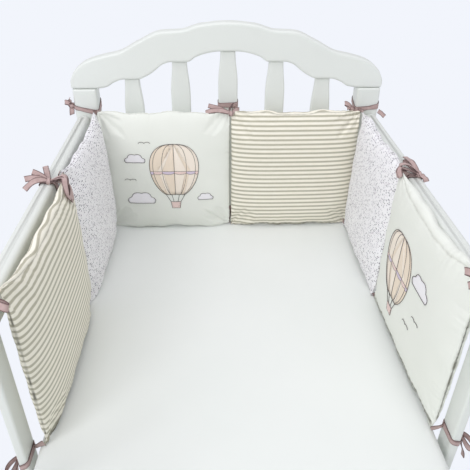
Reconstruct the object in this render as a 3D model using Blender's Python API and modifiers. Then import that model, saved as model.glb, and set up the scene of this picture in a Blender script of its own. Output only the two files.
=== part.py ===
"""A crib bumper: six filled pads, tied with ribbons round the head of a plain slatted crib.

Metres, +Z up.  X runs across the crib and Y along it, with the head at +Y.  The origin is on the
floor, under the middle of the crib.
"""
import math
from collections import namedtuple

import bmesh
import bpy
from mathutils import Matrix, Vector

FIT = 0.0003                     # gap that touching pieces keep
CLOTH_CLEARANCE = 0.002          # gap between a pad's back and the edges it leans on

# Crib: clear inside size, heights above the floor, timber sections.
INSIDE_WIDTH = 0.620
INSIDE_LENGTH = 1.200
POST_WIDTH = 0.052
POST_DEPTH = 0.040
POST_ACROSS = 0.315              # X of a post's middle
HEAD_POST_TOP = 0.818
RAIL_THICK = 0.026
RAIL_TALL = 0.042
RAIL_TOP = 0.760
END_RAIL_THICK = 0.028
END_RAIL_INSET = 0.002           # end rails stand this far behind the posts' inner faces
BOTTOM_RAIL_TOP = 0.375
BOTTOM_RAIL_TALL = 0.055
SIDE_BOTTOM_THICK = 0.038
SLAT_THICK = 0.014
SIDE_SLAT_WIDTH = 0.038
SIDE_SLATS = 10                  # on each side
END_SLAT_WIDTH = 0.043
END_SLAT_WAIST = 0.032           # width of a head slat where it meets a rail
WAIST_LENGTH = 0.070
END_SLAT_PITCH = 0.105
SLAT_SEAT = 0.010                # how deep the foot slats are let into their rail
FOOT_RAIL_OVERHANG = 0.001       # the foot's top rail past the posts' outer faces
SCREW_RADIUS = 0.0025
SCREW_DEPTH = 0.008
SCREW_FROM_END = 0.011

POST_MIDDLE = INSIDE_LENGTH / 2 + POST_DEPTH / 2
END_MIDDLE = INSIDE_LENGTH / 2 + END_RAIL_INSET + END_RAIL_THICK / 2
SIDE_MIDDLE = INSIDE_WIDTH / 2 + RAIL_THICK / 2
RAIL_UNDERSIDE = RAIL_TOP - RAIL_TALL
POST_INNER = POST_ACROSS - POST_WIDTH / 2

BASE_THICK = 0.018
BASE_OVER_RAIL = 0.002           # how far the base board reaches on to the side bottom rails
BASE_END_GAP = 0.0015
MATTRESS_TOP = 0.485
MATTRESS_SIDE_GAP = 0.005
MATTRESS_END_GAP = 0.0035

# Right half of the arched head rail's outline, round from the middle of its top edge.
Bend = namedtuple("Bend", "x z handle")
ARCH = (
    Bend(0.000, 0.9570, "AUTO"), Bend(0.057, 0.9520, "AUTO"), Bend(0.100, 0.9405, "AUTO"),
    Bend(0.140, 0.9385, "AUTO"), Bend(0.190, 0.9180, "AUTO"), Bend(0.233, 0.8965, "AUTO"),
    Bend(0.267, 0.8890, "AUTO"), Bend(0.303, 0.8780, "AUTO"), Bend(0.331, 0.8575, "AUTO"),
    Bend(0.342, 0.8380, "AUTO"), Bend(0.342, 0.8183, "VECTOR"),
    Bend(0.289, 0.8183, "VECTOR"), Bend(0.266, 0.8215, "AUTO"), Bend(0.250, 0.8310, "AUTO"),
    Bend(0.228, 0.8380, "VECTOR"), Bend(0.196, 0.8380, "VECTOR"), Bend(0.177, 0.8450, "AUTO"),
    Bend(0.158, 0.8570, "AUTO"), Bend(0.141, 0.8700, "AUTO"), Bend(0.123, 0.8750, "VECTOR"),
    Bend(0.087, 0.8750, "VECTOR"), Bend(0.068, 0.8860, "AUTO"), Bend(0.042, 0.8940, "AUTO"),
    Bend(0.018, 0.8970, "VECTOR"),
)
ARCH_SEATS = {0: 0.897, 1: 0.875, 2: 0.838}      # rail's underside over each slat, from the middle

# Pads.  start and end lie along the wall, and the seam's distances are from the wall's inner face.
# lean brings the foot of the seam forward.  sag is how far its top hangs in the middle, and how far
# its ties lift it at both ends.
Wall = namedtuple("Wall", "origin along inward")
WALLS = {
    "head": Wall(Vector((0, INSIDE_LENGTH / 2 + END_RAIL_INSET, 0)), Vector((1, 0, 0)),
                 Vector((0, -1, 0))),
    "left": Wall(Vector((-INSIDE_WIDTH / 2, 0, 0)), Vector((0, 1, 0)), Vector((1, 0, 0))),
    "right": Wall(Vector((INSIDE_WIDTH / 2, 0, 0)), Vector((0, 1, 0)), Vector((-1, 0, 0))),
}
Pad = namedtuple("Pad", "name wall start end seam_at_start seam_at_end lean sag cover folds")
PADS = (
    Pad("pad_head_left", "head", -0.289, 0.0035, 0.024, 0.025, 0.007, 0.000, "plain_cotton", 0.3),
    Pad("pad_head_right", "head", 0.005, 0.297, 0.025, 0.023, 0.007, 0.000, "striped_cotton", 2.1),
    Pad("pad_left_head", "left", 0.272, 0.564, 0.0175, 0.0225, 0.010, 0.006, "dotted_cotton", 1.2),
    Pad("pad_left_foot", "left", -0.054, 0.269, 0.015, 0.020, 0.002, 0.005, "striped_cotton", 3.0),
    Pad("pad_right_head", "right", 0.281, 0.565, 0.019, 0.018, 0.009, 0.004, "dotted_cotton", 4.4),
    Pad("pad_right_foot", "right", -0.045, 0.278, 0.014, 0.020, 0.002, 0.004, "plain_cotton", 5.2),
)
PAD_HEIGHT = 0.291
PAD_THICK = 0.046
PAD_CELLS = 16                   # grid cells along each edge of a pad's cover
CROWN = 3.4                      # higher is flatter in the middle
SIDE_ROUNDNESS = 0.46            # lower is fuller at the seam
DRAWN_IN = 0.008                 # how far the seam draws in between corners, of the pad's width
CORNER_PULL = 0.008              # how far a corner is pinched in towards the pad
GATHER_DEPTH = 0.20              # dip of a gather beside the seam, of the pad's thickness
GATHERS = 4.5                    # gathers along one edge
HEM_WAVE = 0.0022                # rise and fall of the seam
SEAM_WELD = 1e-5

# Ribbon ties.
RIBBON_THICK = 0.0012
RIBBON_WIDTH = 0.009
RIBBON_AT_KNOT = 0.65            # width of a ribbon where it enters the knot, of its full width
RIBBON_STEPS = 3
LOOP_STEPS = 7
LOOP_FULLNESS = 1.3              # sin(turn) * share of a loop reaches half of this
LOOP_FEET = 0.0012               # from the knot's middle to each foot of a loop
BAND_LIFT = 0.0010               # from the timber to the middle of the band round it
KNOT_SIZE = (0.0062, 0.0056, 0.0052)

# A band goes round a post or slat, or over a side top rail between two slats.  slope is how it
# slants: its rise for each metre of X and Y, or on a rail its shift in Y for each metre of X and
# Z.  The knot sits on the timber's face that `toward` names, moved along it by `shift`.
SIDE_SLAT_PITCH = INSIDE_LENGTH / (SIDE_SLATS + 1)
FOOT_TIE_SLAT = -0.5 * SIDE_SLAT_PITCH
MIDDLE_TIE_SLAT = 2.5 * SIDE_SLAT_PITCH
RAIL_MIDDLE = (RAIL_TOP + RAIL_UNDERSIDE) / 2

# Half sizes of the timber's section inside each band, and how far the band cuts its corners.
Support = namedtuple("Support", "half corner_cut")
SUPPORTS = {
    "post": Support((POST_WIDTH / 2, POST_DEPTH / 2), 0.0030),
    "head_slat": Support((END_SLAT_WIDTH / 2, SLAT_THICK / 2), 0.0015),
    "side_slat": Support((SLAT_THICK / 2, SIDE_SLAT_WIDTH / 2), 0.0015),
    "rail": Support((RAIL_THICK / 2, RAIL_TALL / 2), 0.0022),
}
LEFT, RIGHT = Vector((-1, 0, 0)), Vector((1, 0, 0))
TO_FOOT, TO_HEAD = Vector((0, -1, 0)), Vector((0, 1, 0))
UP = Vector((0, 0, 1))

Tie = namedtuple("Tie", "name round middle slope toward shift")
TIES = (
    Tie("tie_head_left_top", "post", (-POST_ACROSS, POST_MIDDLE, 0.779), (-0.25, 0.35),
        LEFT, (0, -0.015, 0)),
    Tie("tie_head_right_top", "post", (POST_ACROSS, POST_MIDDLE, 0.781), (0.22, 0.35),
        LEFT, (0, -0.015, 0)),
    Tie("tie_head_middle_top", "head_slat", (0, END_MIDDLE, 0.781), (0, 0.30),
        TO_FOOT, (0.004, 0, 0)),
    Tie("tie_left_middle_top", "rail", (-SIDE_MIDDLE, 0.2895, RAIL_MIDDLE), (0, -0.35),
        UP, (-0.0045, -0.0025, 0)),
    Tie("tie_right_middle_top", "rail", (SIDE_MIDDLE, 0.2895, RAIL_MIDDLE), (0, -0.35),
        UP, (0.006, -0.002, 0)),
    Tie("tie_left_foot_top", "rail", (-SIDE_MIDDLE, -0.0710, RAIL_MIDDLE), (0, 0.40),
        UP, (-0.002, 0.001, 0)),
    Tie("tie_right_foot_top", "rail", (SIDE_MIDDLE, -0.0370, RAIL_MIDDLE), (0, -0.36),
        UP, (0.002, 0.001, 0)),
    Tie("tie_head_left_bottom", "post", (-POST_ACROSS, POST_MIDDLE, 0.512), (0, 0),
        LEFT, (0, 0.004, 0)),
    Tie("tie_head_right_bottom", "post", (POST_ACROSS, POST_MIDDLE, 0.512), (0, 0),
        RIGHT, (0, 0.004, 0)),
    Tie("tie_head_middle_bottom", "head_slat", (0, END_MIDDLE, 0.512), (0, 0),
        TO_HEAD, (0.002, 0, 0)),
    Tie("tie_left_middle_bottom", "side_slat", (-SIDE_MIDDLE, MIDDLE_TIE_SLAT, 0.500), (0, 0),
        LEFT, (0, 0, 0)),
    Tie("tie_right_middle_bottom", "side_slat", (SIDE_MIDDLE, MIDDLE_TIE_SLAT, 0.500), (0, 0),
        RIGHT, (0, 0, 0)),
    Tie("tie_left_foot_bottom", "side_slat", (-SIDE_MIDDLE, FOOT_TIE_SLAT, 0.468), (0.6, 0),
        LEFT, (0, 0.004, 0)),
    Tie("tie_right_foot_bottom", "side_slat", (SIDE_MIDDLE, FOOT_TIE_SLAT, 0.492), (-0.3, 0),
        RIGHT, (0, 0.004, 0)),
)

# What leaves each knot.  reach is from the knot to the tip, lift is how far the middle of the
# run rises above the straight line, face is the way the ribbon's breadth points, and opening is
# the breadth of a bow loop, or 0 for a free end.
Run = namedtuple("Run", "reach lift face opening")


def hanging_bow(out, along):
    """Two ends and one loop that hang from a knot on a timber's outer face."""
    rows = ((0.012, 0.012, -0.048, 0), (0.011, -0.014, -0.042, 0), (0.014, -0.024, -0.010, 0.010))
    return tuple(Run(out * away + along * beside + UP * drop, 0.004, UP if opening else along,
                     opening)
                 for away, beside, drop, opening in rows)


RUNS = {
    "tie_head_left_top": (
        Run(Vector((-0.003, 0.001, -0.022)), 0.0, TO_HEAD, 0.006),
        Run(Vector((-0.013, 0.003, 0.006)), 0.002, TO_HEAD, 0.005),
        Run(Vector((-0.001, -0.008, 0.018)), 0.0, TO_HEAD, 0)),
    "tie_head_right_top": (
        Run(Vector((-0.014, 0.002, 0.012)), 0.002, TO_HEAD, 0.006),
        Run(Vector((-0.004, -0.004, 0.020)), 0.0, TO_HEAD, 0)),
    "tie_head_middle_top": (
        Run(Vector((-0.055, -0.004, 0.016)), 0.003, UP, 0),
        Run(Vector((-0.060, -0.005, 0.002)), 0.002, UP, 0.005),
        Run(Vector((0.019, -0.003, 0.006)), 0.001, UP, 0)),
    "tie_left_middle_top": (
        Run(Vector((-0.039, 0.030, -0.002)), 0.005, TO_HEAD, 0),
        Run(Vector((-0.041, 0.003, -0.004)), 0.006, TO_HEAD, 0),
        Run(Vector((-0.029, -0.036, -0.016)), 0.012, TO_HEAD, 0),
        Run(Vector((-0.016, 0.052, 0.004)), 0.003, RIGHT, 0),
        Run(Vector((0.034, -0.031, 0.020)), 0.005, TO_HEAD, 0.008),
        Run(Vector((0.030, -0.012, 0.018)), 0.004, TO_HEAD, 0.006)),
    "tie_right_middle_top": (
        Run(Vector((-0.002, 0.072, 0.001)), 0.006, RIGHT, 0),
        Run(Vector((-0.010, 0.046, 0.005)), 0.004, RIGHT, 0.008),
        Run(Vector((-0.036, 0.000, 0.018)), 0.004, TO_HEAD, 0.007),
        Run(Vector((-0.031, -0.018, 0.017)), 0.004, TO_HEAD, 0),
        Run(Vector((0.017, -0.030, -0.001)), 0.007, RIGHT, 0)),
    "tie_left_foot_top": (
        Run(Vector((0.036, -0.002, 0.018)), 0.004, TO_HEAD, 0.008),
        Run(Vector((-0.027, -0.024, -0.017)), 0.012, TO_HEAD, 0),
        Run(Vector((-0.029, 0.022, -0.018)), 0.012, TO_HEAD, 0)),
    "tie_right_foot_top": (
        Run(Vector((-0.034, 0.021, 0.023)), 0.003, TO_HEAD, 0.008),
        Run(Vector((0.027, -0.025, -0.016)), 0.012, TO_HEAD, 0),
        Run(Vector((0.028, 0.020, -0.018)), 0.012, TO_HEAD, 0)),
    "tie_head_left_bottom": hanging_bow(LEFT, TO_HEAD),
    "tie_head_right_bottom": hanging_bow(RIGHT, TO_HEAD),
    "tie_head_middle_bottom": hanging_bow(TO_HEAD, RIGHT),
    "tie_left_middle_bottom": hanging_bow(LEFT, TO_HEAD),
    "tie_right_middle_bottom": hanging_bow(RIGHT, TO_HEAD),
    "tie_left_foot_bottom": hanging_bow(LEFT, TO_HEAD),
    "tie_right_foot_bottom": hanging_bow(RIGHT, TO_HEAD),
}

Finish = namedtuple("Finish", "colour roughness")
FINISHES = {
    "white_paint": Finish((0.86, 0.88, 0.86, 1), 0.35),
    "base_board": Finish((0.72, 0.60, 0.45, 1), 0.6),
    "sheet": Finish((0.93, 0.94, 0.93, 1), 0.9),
    "plain_cotton": Finish((0.86, 0.87, 0.80, 1), 0.9),
    "striped_cotton": Finish((0.78, 0.75, 0.66, 1), 0.9),
    "dotted_cotton": Finish((0.87, 0.86, 0.88, 1), 0.9),
    "ribbon": Finish((0.50, 0.36, 0.36, 1), 0.8),
}


def clear_scene():
    for old in list(bpy.data.objects):
        bpy.data.objects.remove(old, do_unlink=True)


def new_collection(name):
    made = bpy.data.collections.new(name)
    bpy.context.scene.collection.children.link(made)
    return made


clear_scene()
PART = new_collection("crib_bumper")
CUTTERS = new_collection("cutters")


def finish(name):
    """The Principled material of that name, made once and shared by the pieces of one stuff."""
    material = bpy.data.materials.get(name)
    if material is None:
        material = bpy.data.materials.new(name)
        material.use_nodes = True
        shader = material.node_tree.nodes["Principled BSDF"]
        shader.inputs["Base Color"].default_value = FINISHES[name].colour
        shader.inputs["Roughness"].default_value = FINISHES[name].roughness
        shader.inputs["Metallic"].default_value = 0.0
        material.diffuse_color = FINISHES[name].colour
    return material


def place(name, data, material, location=(0, 0, 0), rotation=(0, 0, 0)):
    piece = bpy.data.objects.new(name, data)
    piece.data.materials.append(finish(material))
    piece.location = location
    piece.rotation_euler = rotation
    PART.objects.link(piece)
    return piece


def guide(name, data, location=(0, 0, 0)):
    """A cutter, or a shape that is joined to another; it is never part of the object."""
    piece = bpy.data.objects.new(name, data)
    piece.location = location
    piece.hide_render = True
    piece.display_type = "WIRE"
    CUTTERS.objects.link(piece)
    return piece


def mesh_from(bm, name):
    bmesh.ops.recalc_face_normals(bm, faces=bm.faces)
    mesh = bpy.data.meshes.new(name)
    bm.to_mesh(mesh)
    bm.free()
    return mesh


def block_mesh(name, sizes):
    bm = bmesh.new()
    bmesh.ops.create_cube(bm, size=1.0)
    bmesh.ops.scale(bm, vec=sizes, verts=bm.verts)
    return mesh_from(bm, name)


def rounded(piece, radius, segments):
    bevel = piece.modifiers.new("rounded_edges", "BEVEL")
    bevel.width = radius
    bevel.segments = segments
    bevel.limit_method = "ANGLE"
    bevel.angle_limit = math.radians(50)
    return bevel


def boolean(piece, other, operation):
    cut = piece.modifiers.new(operation.lower(), "BOOLEAN")
    cut.operation = operation
    cut.object = other
    cut.solver = "EXACT"


def block(name, low, high, material, radius=0.003, segments=1):
    """A squared timber or pad between two corners, its edges rounded over."""
    low = Vector(low)
    high = Vector(high)
    piece = place(name, block_mesh(name, high - low), material, (low + high) / 2)
    rounded(piece, radius, segments)
    return piece


# ---- the crib ---------------------------------------------------------------------------------

def posts():
    for end, top in (("head", HEAD_POST_TOP), ("foot", RAIL_UNDERSIDE)):
        toward = 1 if end == "head" else -1
        for side, across in (("left", -POST_ACROSS), ("right", POST_ACROSS)):
            block(f"post_{end}_{side}",
                  (across - POST_WIDTH / 2, toward * POST_MIDDLE - POST_DEPTH / 2, 0),
                  (across + POST_WIDTH / 2, toward * POST_MIDDLE + POST_DEPTH / 2, top),
                  "white_paint", 0.005, 2)


def flat_outline(name, outline, thickness, edge, material, location):
    """A board cut to an outline in the XZ plane, its two faces' edges eased by `edge`."""
    curve = bpy.data.curves.new(name, "CURVE")
    curve.dimensions = "2D"
    curve.fill_mode = "BOTH"
    curve.extrude = thickness / 2 - edge
    curve.bevel_depth = edge
    curve.bevel_resolution = 0
    curve.offset = -edge
    curve.resolution_u = 2
    curve.render_resolution_u = 2
    spline = curve.splines.new("BEZIER")
    spline.bezier_points.add(len(outline) - 1)
    for point, bend in zip(spline.bezier_points, outline):
        point.co = (bend.x, bend.z, 0)
        point.handle_left_type = bend.handle
        point.handle_right_type = bend.handle
    spline.use_cyclic_u = True
    return place(name, curve, material, location, (math.pi / 2, 0, 0))


def arched_rail():
    left_half = [bend._replace(x=-bend.x) for bend in reversed(ARCH) if bend.x > 0]
    flat_outline("rail_head_top", list(ARCH) + left_half, END_RAIL_THICK, 0.004, "white_paint",
                 (0, END_MIDDLE, 0))


def waist_outline(length):
    """Half widths narrow near both ends, so that the slat meets each rail at its waist."""
    steps = 3
    right = []
    for step in range(steps + 1):
        share = step / steps
        ease = share * share * (3 - 2 * share)
        half = (END_SLAT_WAIST + (END_SLAT_WIDTH - END_SLAT_WAIST) * ease) / 2
        right.append(Bend(half, share * WAIST_LENGTH, "VECTOR"))
    right += [Bend(bend.x, length - bend.z, "VECTOR") for bend in reversed(right)]
    return right + [bend._replace(x=-bend.x) for bend in reversed(right)]


def head_slats():
    bottom = BOTTOM_RAIL_TOP + FIT
    for index in range(-2, 3):
        top = ARCH_SEATS[abs(index)] - FIT
        flat_outline(f"slat_head_{index + 3}", waist_outline(top - bottom), SLAT_THICK, 0.002,
                     "white_paint", (index * END_SLAT_PITCH, END_MIDDLE, bottom))


def end_bottom_rail(name, middle):
    reach = POST_INNER - FIT
    return block(name, (-reach, middle - END_RAIL_THICK / 2, BOTTOM_RAIL_TOP - BOTTOM_RAIL_TALL),
                 (reach, middle + END_RAIL_THICK / 2, BOTTOM_RAIL_TOP), "white_paint")


def foot_end():
    reach = POST_ACROSS + POST_WIDTH / 2 + FOOT_RAIL_OVERHANG
    block("rail_foot_top", (-reach, -END_MIDDLE - END_RAIL_THICK / 2, RAIL_UNDERSIDE + FIT),
          (reach, -END_MIDDLE + END_RAIL_THICK / 2, RAIL_TOP), "white_paint", 0.006, 2)
    comb = end_bottom_rail("rail_foot_bottom", -END_MIDDLE)
    foot = BOTTOM_RAIL_TOP - SLAT_SEAT
    tall = RAIL_UNDERSIDE - foot
    slats = bmesh.new()
    for index in range(-2, 3):
        made = bmesh.ops.create_cube(slats, size=1.0)["verts"]
        bmesh.ops.scale(slats, vec=(END_SLAT_WIDTH, SLAT_THICK, tall), verts=made)
        bmesh.ops.translate(slats, vec=(index * END_SLAT_PITCH, 0, 0), verts=made)
    joined = guide("foot_slats", mesh_from(slats, "foot_slats"), (0, -END_MIDDLE, foot + tall / 2))
    boolean(comb, joined, "UNION")


def side_top_rail(name, across):
    """A rail with half-round ends: a short round post pulled out lengthwise, then eased."""
    sides = 12
    half_step = math.pi / sides
    radius = RAIL_THICK / 2 / math.cos(half_step)
    bm = bmesh.new()
    bmesh.ops.create_cone(bm, cap_ends=True, segments=sides, radius1=radius, radius2=radius,
                          depth=RAIL_TALL)
    bmesh.ops.rotate(bm, matrix=Matrix.Rotation(half_step, 3, "Z"), verts=bm.verts)
    stretch = INSIDE_LENGTH / 2 - FIT - RAIL_THICK / 2
    for vert in bm.verts:
        vert.co.y += math.copysign(stretch, vert.co.y)
    rail = place(name, mesh_from(bm, name), "white_paint", (across, 0, RAIL_MIDDLE))
    rounded(rail, 0.004, 1)
    hole = bmesh.new()
    for end in (-1, 1):
        made = bmesh.ops.create_cone(hole, cap_ends=True, segments=8, radius1=SCREW_RADIUS,
                                     radius2=SCREW_RADIUS, depth=SCREW_DEPTH * 2)["verts"]
        reach = INSIDE_LENGTH / 2 - SCREW_FROM_END
        bmesh.ops.translate(hole, vec=(0, end * reach, RAIL_TALL / 2), verts=made)
    drill = guide(f"{name}_screw_holes", mesh_from(hole, f"{name}_screw_holes"),
                  (across, 0, RAIL_MIDDLE))
    boolean(rail, drill, "DIFFERENCE")


def sides():
    reach = INSIDE_LENGTH / 2 - FIT
    for side, toward in (("left", -1), ("right", 1)):
        across = toward * SIDE_MIDDLE
        side_top_rail(f"rail_{side}_top", across)
        outer = toward * (INSIDE_WIDTH / 2 + RAIL_THICK)
        inner = outer - toward * SIDE_BOTTOM_THICK
        block(f"rail_{side}_bottom",
              (min(inner, outer), -reach, BOTTOM_RAIL_TOP - BOTTOM_RAIL_TALL),
              (max(inner, outer), reach, BOTTOM_RAIL_TOP), "white_paint")
        for index in range(SIDE_SLATS):
            along = (index - (SIDE_SLATS - 1) / 2) * SIDE_SLAT_PITCH
            block(f"slat_{side}_{index + 1}",
                  (across - SLAT_THICK / 2, along - SIDE_SLAT_WIDTH / 2, BOTTOM_RAIL_TOP + FIT),
                  (across + SLAT_THICK / 2, along + SIDE_SLAT_WIDTH / 2, RAIL_UNDERSIDE - FIT),
                  "white_paint", 0.0025)


def base_and_mattress():
    across = INSIDE_WIDTH / 2
    along = INSIDE_LENGTH / 2
    low = BOTTOM_RAIL_TOP + FIT
    block("mattress_base", (-across - BASE_OVER_RAIL, BASE_END_GAP - along, low),
          (across + BASE_OVER_RAIL, along - BASE_END_GAP, low + BASE_THICK), "base_board", 0.002)
    low += BASE_THICK + FIT
    block("mattress", (MATTRESS_SIDE_GAP - across, MATTRESS_END_GAP - along, low),
          (across - MATTRESS_SIDE_GAP, along - MATTRESS_END_GAP, MATTRESS_TOP), "sheet", 0.010, 3)


# ---- the pads ---------------------------------------------------------------------------------

def crowd(value):
    """Spread -1..1 so that the grid is closest near the seams, where the cover curves most."""
    return 0.5 * (value + math.sin(value * math.pi / 2))


def gather(pad, u, v):
    """Dips that run in from the seam: deepest beside it, and faint a quarter of the way in."""
    edge = max(abs(u), abs(v))
    along = v if abs(u) > abs(v) else u
    wave = 0.5 + 0.5 * math.cos(along * math.pi * GATHERS + pad.folds + 2.0 * u + 1.1 * v)
    fade = (1 - min(abs(u), abs(v)) ** 4) * edge ** 7
    return 1 - GATHER_DEPTH * wave * fade


def pad_point(pad, u, v, face):
    """Place one grid point of a pad's front (face 1) or back (face -1); both meet at the seam."""
    width = pad.end - pad.start
    half_thick = PAD_THICK / 2 * ((1 - abs(u) ** CROWN) * (1 - abs(v) ** CROWN)) ** SIDE_ROUNDNESS
    pinch = CORNER_PULL * (abs(u) * abs(v)) ** 18
    hem = HEM_WAVE * math.sin(6.3 * u + 2.4 * pad.folds) * abs(v) ** 8
    along = u * (width / 2 * (1 - DRAWN_IN * (1 - v * v)) - pinch)
    above = v * (PAD_HEIGHT / 2 * (1 - DRAWN_IN * (1 - u * u)) - pinch) + hem
    above += pad.sag * (2 * u * u - 1) * max(v, 0) ** 2
    above = max(above + PAD_HEIGHT / 2, 0)
    share = 0.5 + along / width
    seam = pad.seam_at_start * (1 - share) + pad.seam_at_end * share
    seam += pad.lean * (0.5 - above / PAD_HEIGHT)
    out = max(seam + face * half_thick * gather(pad, u, v), CLOTH_CLEARANCE)
    wall = WALLS[pad.wall]
    middle = (pad.start + pad.end) / 2
    return (wall.origin + wall.along * (middle + along) + wall.inward * out
            + UP * (MATTRESS_TOP + FIT + above))


def pads():
    for pad in PADS:
        bm = bmesh.new()
        for face in (1, -1):
            made = bmesh.ops.create_grid(bm, x_segments=PAD_CELLS, y_segments=PAD_CELLS, size=1.0)
            for vert in made["verts"]:
                vert.co = pad_point(pad, crowd(vert.co.x), crowd(vert.co.y), face)
        bmesh.ops.remove_doubles(bm, verts=bm.verts, dist=SEAM_WELD)
        piece = place(pad.name, mesh_from(bm, pad.name), pad.cover)
        piece.data.shade_smooth()


# ---- the ties ---------------------------------------------------------------------------------

def add_ribbon(bm, middles, face, widths, closed=False):
    """A flat ribbon along a line of points: four long edges, half a width to either side."""
    count = len(middles)
    rings = []
    for index, middle in enumerate(middles):
        ahead = middles[(index + 1) % count] if closed else middles[min(index + 1, count - 1)]
        behind = middles[index - 1] if closed else middles[max(index - 1, 0)]
        travel = (ahead - behind).normalized()
        breadth = face - travel * face.dot(travel)
        breadth = breadth.normalized() * widths[index] / 2
        depth = travel.cross(breadth).normalized() * RIBBON_THICK / 2
        corners = (breadth + depth, depth - breadth, -breadth - depth, breadth - depth)
        rings.append([bm.verts.new(middle + corner) for corner in corners])
    pairs = list(zip(rings, rings[1:] + rings[:1])) if closed else list(zip(rings, rings[1:]))
    for near, far in pairs:
        for corner in range(4):
            after = (corner + 1) % 4
            bm.faces.new((near[corner], far[corner], far[after], near[after]))
    if not closed:
        bm.faces.new(reversed(rings[-1]))
        bm.faces.new(rings[0])


def band_points(tie):
    """The band's corners: a rectangle round the timber's section with its corners cut."""
    half, cut = SUPPORTS[tie.round]
    wide = half[0] + BAND_LIFT
    deep = half[1] + BAND_LIFT
    corners = []
    for sign_wide, sign_deep, first in ((1, 1, True), (-1, 1, False), (-1, -1, True),
                                        (1, -1, False)):
        near = (sign_wide * wide, sign_deep * (deep - cut))
        far = (sign_wide * (wide - cut), sign_deep * deep)
        corners += [near, far] if first else [far, near]
    middle = Vector(tie.middle)
    slope = tie.slope
    if tie.round == "rail":
        return [middle + Vector((a, a * slope[0] + b * slope[1], b)) for a, b in corners]
    return [middle + Vector((a, b, a * slope[0] + b * slope[1])) for a, b in corners]


def knot_place(tie):
    """On the band, with the knot's own half size between its middle and the timber's face."""
    half = SUPPORTS[tie.round].half
    sizes = (half[0], 0, half[1]) if tie.round == "rail" else (half[0], half[1], 0)
    out = sum(abs(way) * (reach + size) for way, reach, size in zip(tie.toward, sizes, KNOT_SIZE))
    offset = tie.toward * (out + FIT) + Vector(tie.shift)
    if tie.round == "rail":
        offset.y += offset.x * tie.slope[0] + offset.z * tie.slope[1]
    else:
        offset.z += offset.x * tie.slope[0] + offset.y * tie.slope[1]
    return Vector(tie.middle) + offset


def run_points(knot, run):
    """The middle line of what leaves the knot: an arc to a free end, or a bow loop and back."""
    if not run.opening:
        shares = [step / RIBBON_STEPS for step in range(RIBBON_STEPS + 1)]
        return [knot + run.reach * s + UP * run.lift * 4 * s * (1 - s) for s in shares]
    open_way = run.reach.cross(run.face).normalized()
    points = []
    for step in range(LOOP_STEPS + 1):
        turn = 2 * math.pi * step / LOOP_STEPS
        share = (1 - math.cos(turn)) / 2
        foot = LOOP_FEET * math.cos(turn / 2)
        side = math.sin(turn) * share * run.opening / LOOP_FULLNESS
        points.append(knot + run.reach * share + open_way * (side + foot)
                      + UP * run.lift * 4 * share * (1 - share))
    return points


def run_widths(run, count):
    """A ribbon is drawn narrow where the knot grips it and opens to its full width outside."""
    widths = []
    for index in range(count):
        share = index / (count - 1)
        away = 2 * min(share, 1 - share) if run.opening else share
        widths.append(RIBBON_WIDTH * min(1.0, RIBBON_AT_KNOT + 2 * (1 - RIBBON_AT_KNOT) * away))
    return widths


def join_ribbon(piece, name, middles, face, widths, closed=False):
    bm = bmesh.new()
    add_ribbon(bm, middles, face, widths, closed)
    boolean(piece, guide(name, mesh_from(bm, name)), "UNION")


def ties():
    for tie in TIES:
        knot = knot_place(tie)
        bm = bmesh.new()
        bmesh.ops.create_uvsphere(bm, u_segments=8, v_segments=4, radius=1.0)
        bmesh.ops.scale(bm, vec=KNOT_SIZE, verts=bm.verts)
        piece = place(tie.name, mesh_from(bm, tie.name), "ribbon", knot)
        band = band_points(tie)
        join_ribbon(piece, f"{tie.name}_band", band, TO_HEAD if tie.round == "rail" else UP,
                    [RIBBON_WIDTH] * len(band), closed=True)
        for index, run in enumerate(RUNS[tie.name]):
            points = run_points(knot, run)
            join_ribbon(piece, f"{tie.name}_run_{index + 1}", points, run.face,
                        run_widths(run, len(points)))


posts()
arched_rail()
head_slats()
end_bottom_rail("rail_head_bottom", END_MIDDLE)
foot_end()
sides()
base_and_mattress()
pads()
ties()
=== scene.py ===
"""A crib bumper of filled cotton pads, tied with ribbon bows round the head half of a plain white crib.

Metres, +Z up, X across the crib and Y towards its head, as in the frame.
"""
import math

import bmesh
import bpy
import numpy as np
from mathutils import Euler, Matrix, Vector


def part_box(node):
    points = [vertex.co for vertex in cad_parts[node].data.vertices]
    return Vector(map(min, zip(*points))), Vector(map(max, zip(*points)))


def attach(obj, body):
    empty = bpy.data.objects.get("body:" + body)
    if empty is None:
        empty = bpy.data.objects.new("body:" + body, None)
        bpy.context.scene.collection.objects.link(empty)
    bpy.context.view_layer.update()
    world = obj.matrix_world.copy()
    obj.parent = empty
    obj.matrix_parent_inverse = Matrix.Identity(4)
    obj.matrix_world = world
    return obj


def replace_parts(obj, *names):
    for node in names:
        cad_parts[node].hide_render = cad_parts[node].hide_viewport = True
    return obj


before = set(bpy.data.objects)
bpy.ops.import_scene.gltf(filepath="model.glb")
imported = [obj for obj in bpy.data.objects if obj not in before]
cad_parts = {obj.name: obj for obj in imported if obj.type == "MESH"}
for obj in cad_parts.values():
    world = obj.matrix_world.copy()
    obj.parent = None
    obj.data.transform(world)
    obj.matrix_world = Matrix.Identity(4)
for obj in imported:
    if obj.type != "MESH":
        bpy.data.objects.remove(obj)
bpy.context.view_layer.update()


# ---- squared timber -------------------------------------------------------------------------------
# The crib's posts, bars and lower rails are planed softwood, their edges rounded over with a router,
# glued up and sprayed with a white satin paint.  Each stick fills the box that the frame gives it.

ARC = 6                          # points along each quarter circle of an edge
SHOULDER = 0.0010                # flat strip beside an edge, so that the wide faces shade flat
POST_EDGE = 0.0055
RAIL_EDGE = 0.0045
SLAT_EDGE = 0.0035
END_EDGE = 0.7                   # rounding of a stick's ends, of the rounding along it
PAINT = "#E5E9E4"
PAINT_IN_HOLLOWS = "#D8DBD5"


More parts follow.
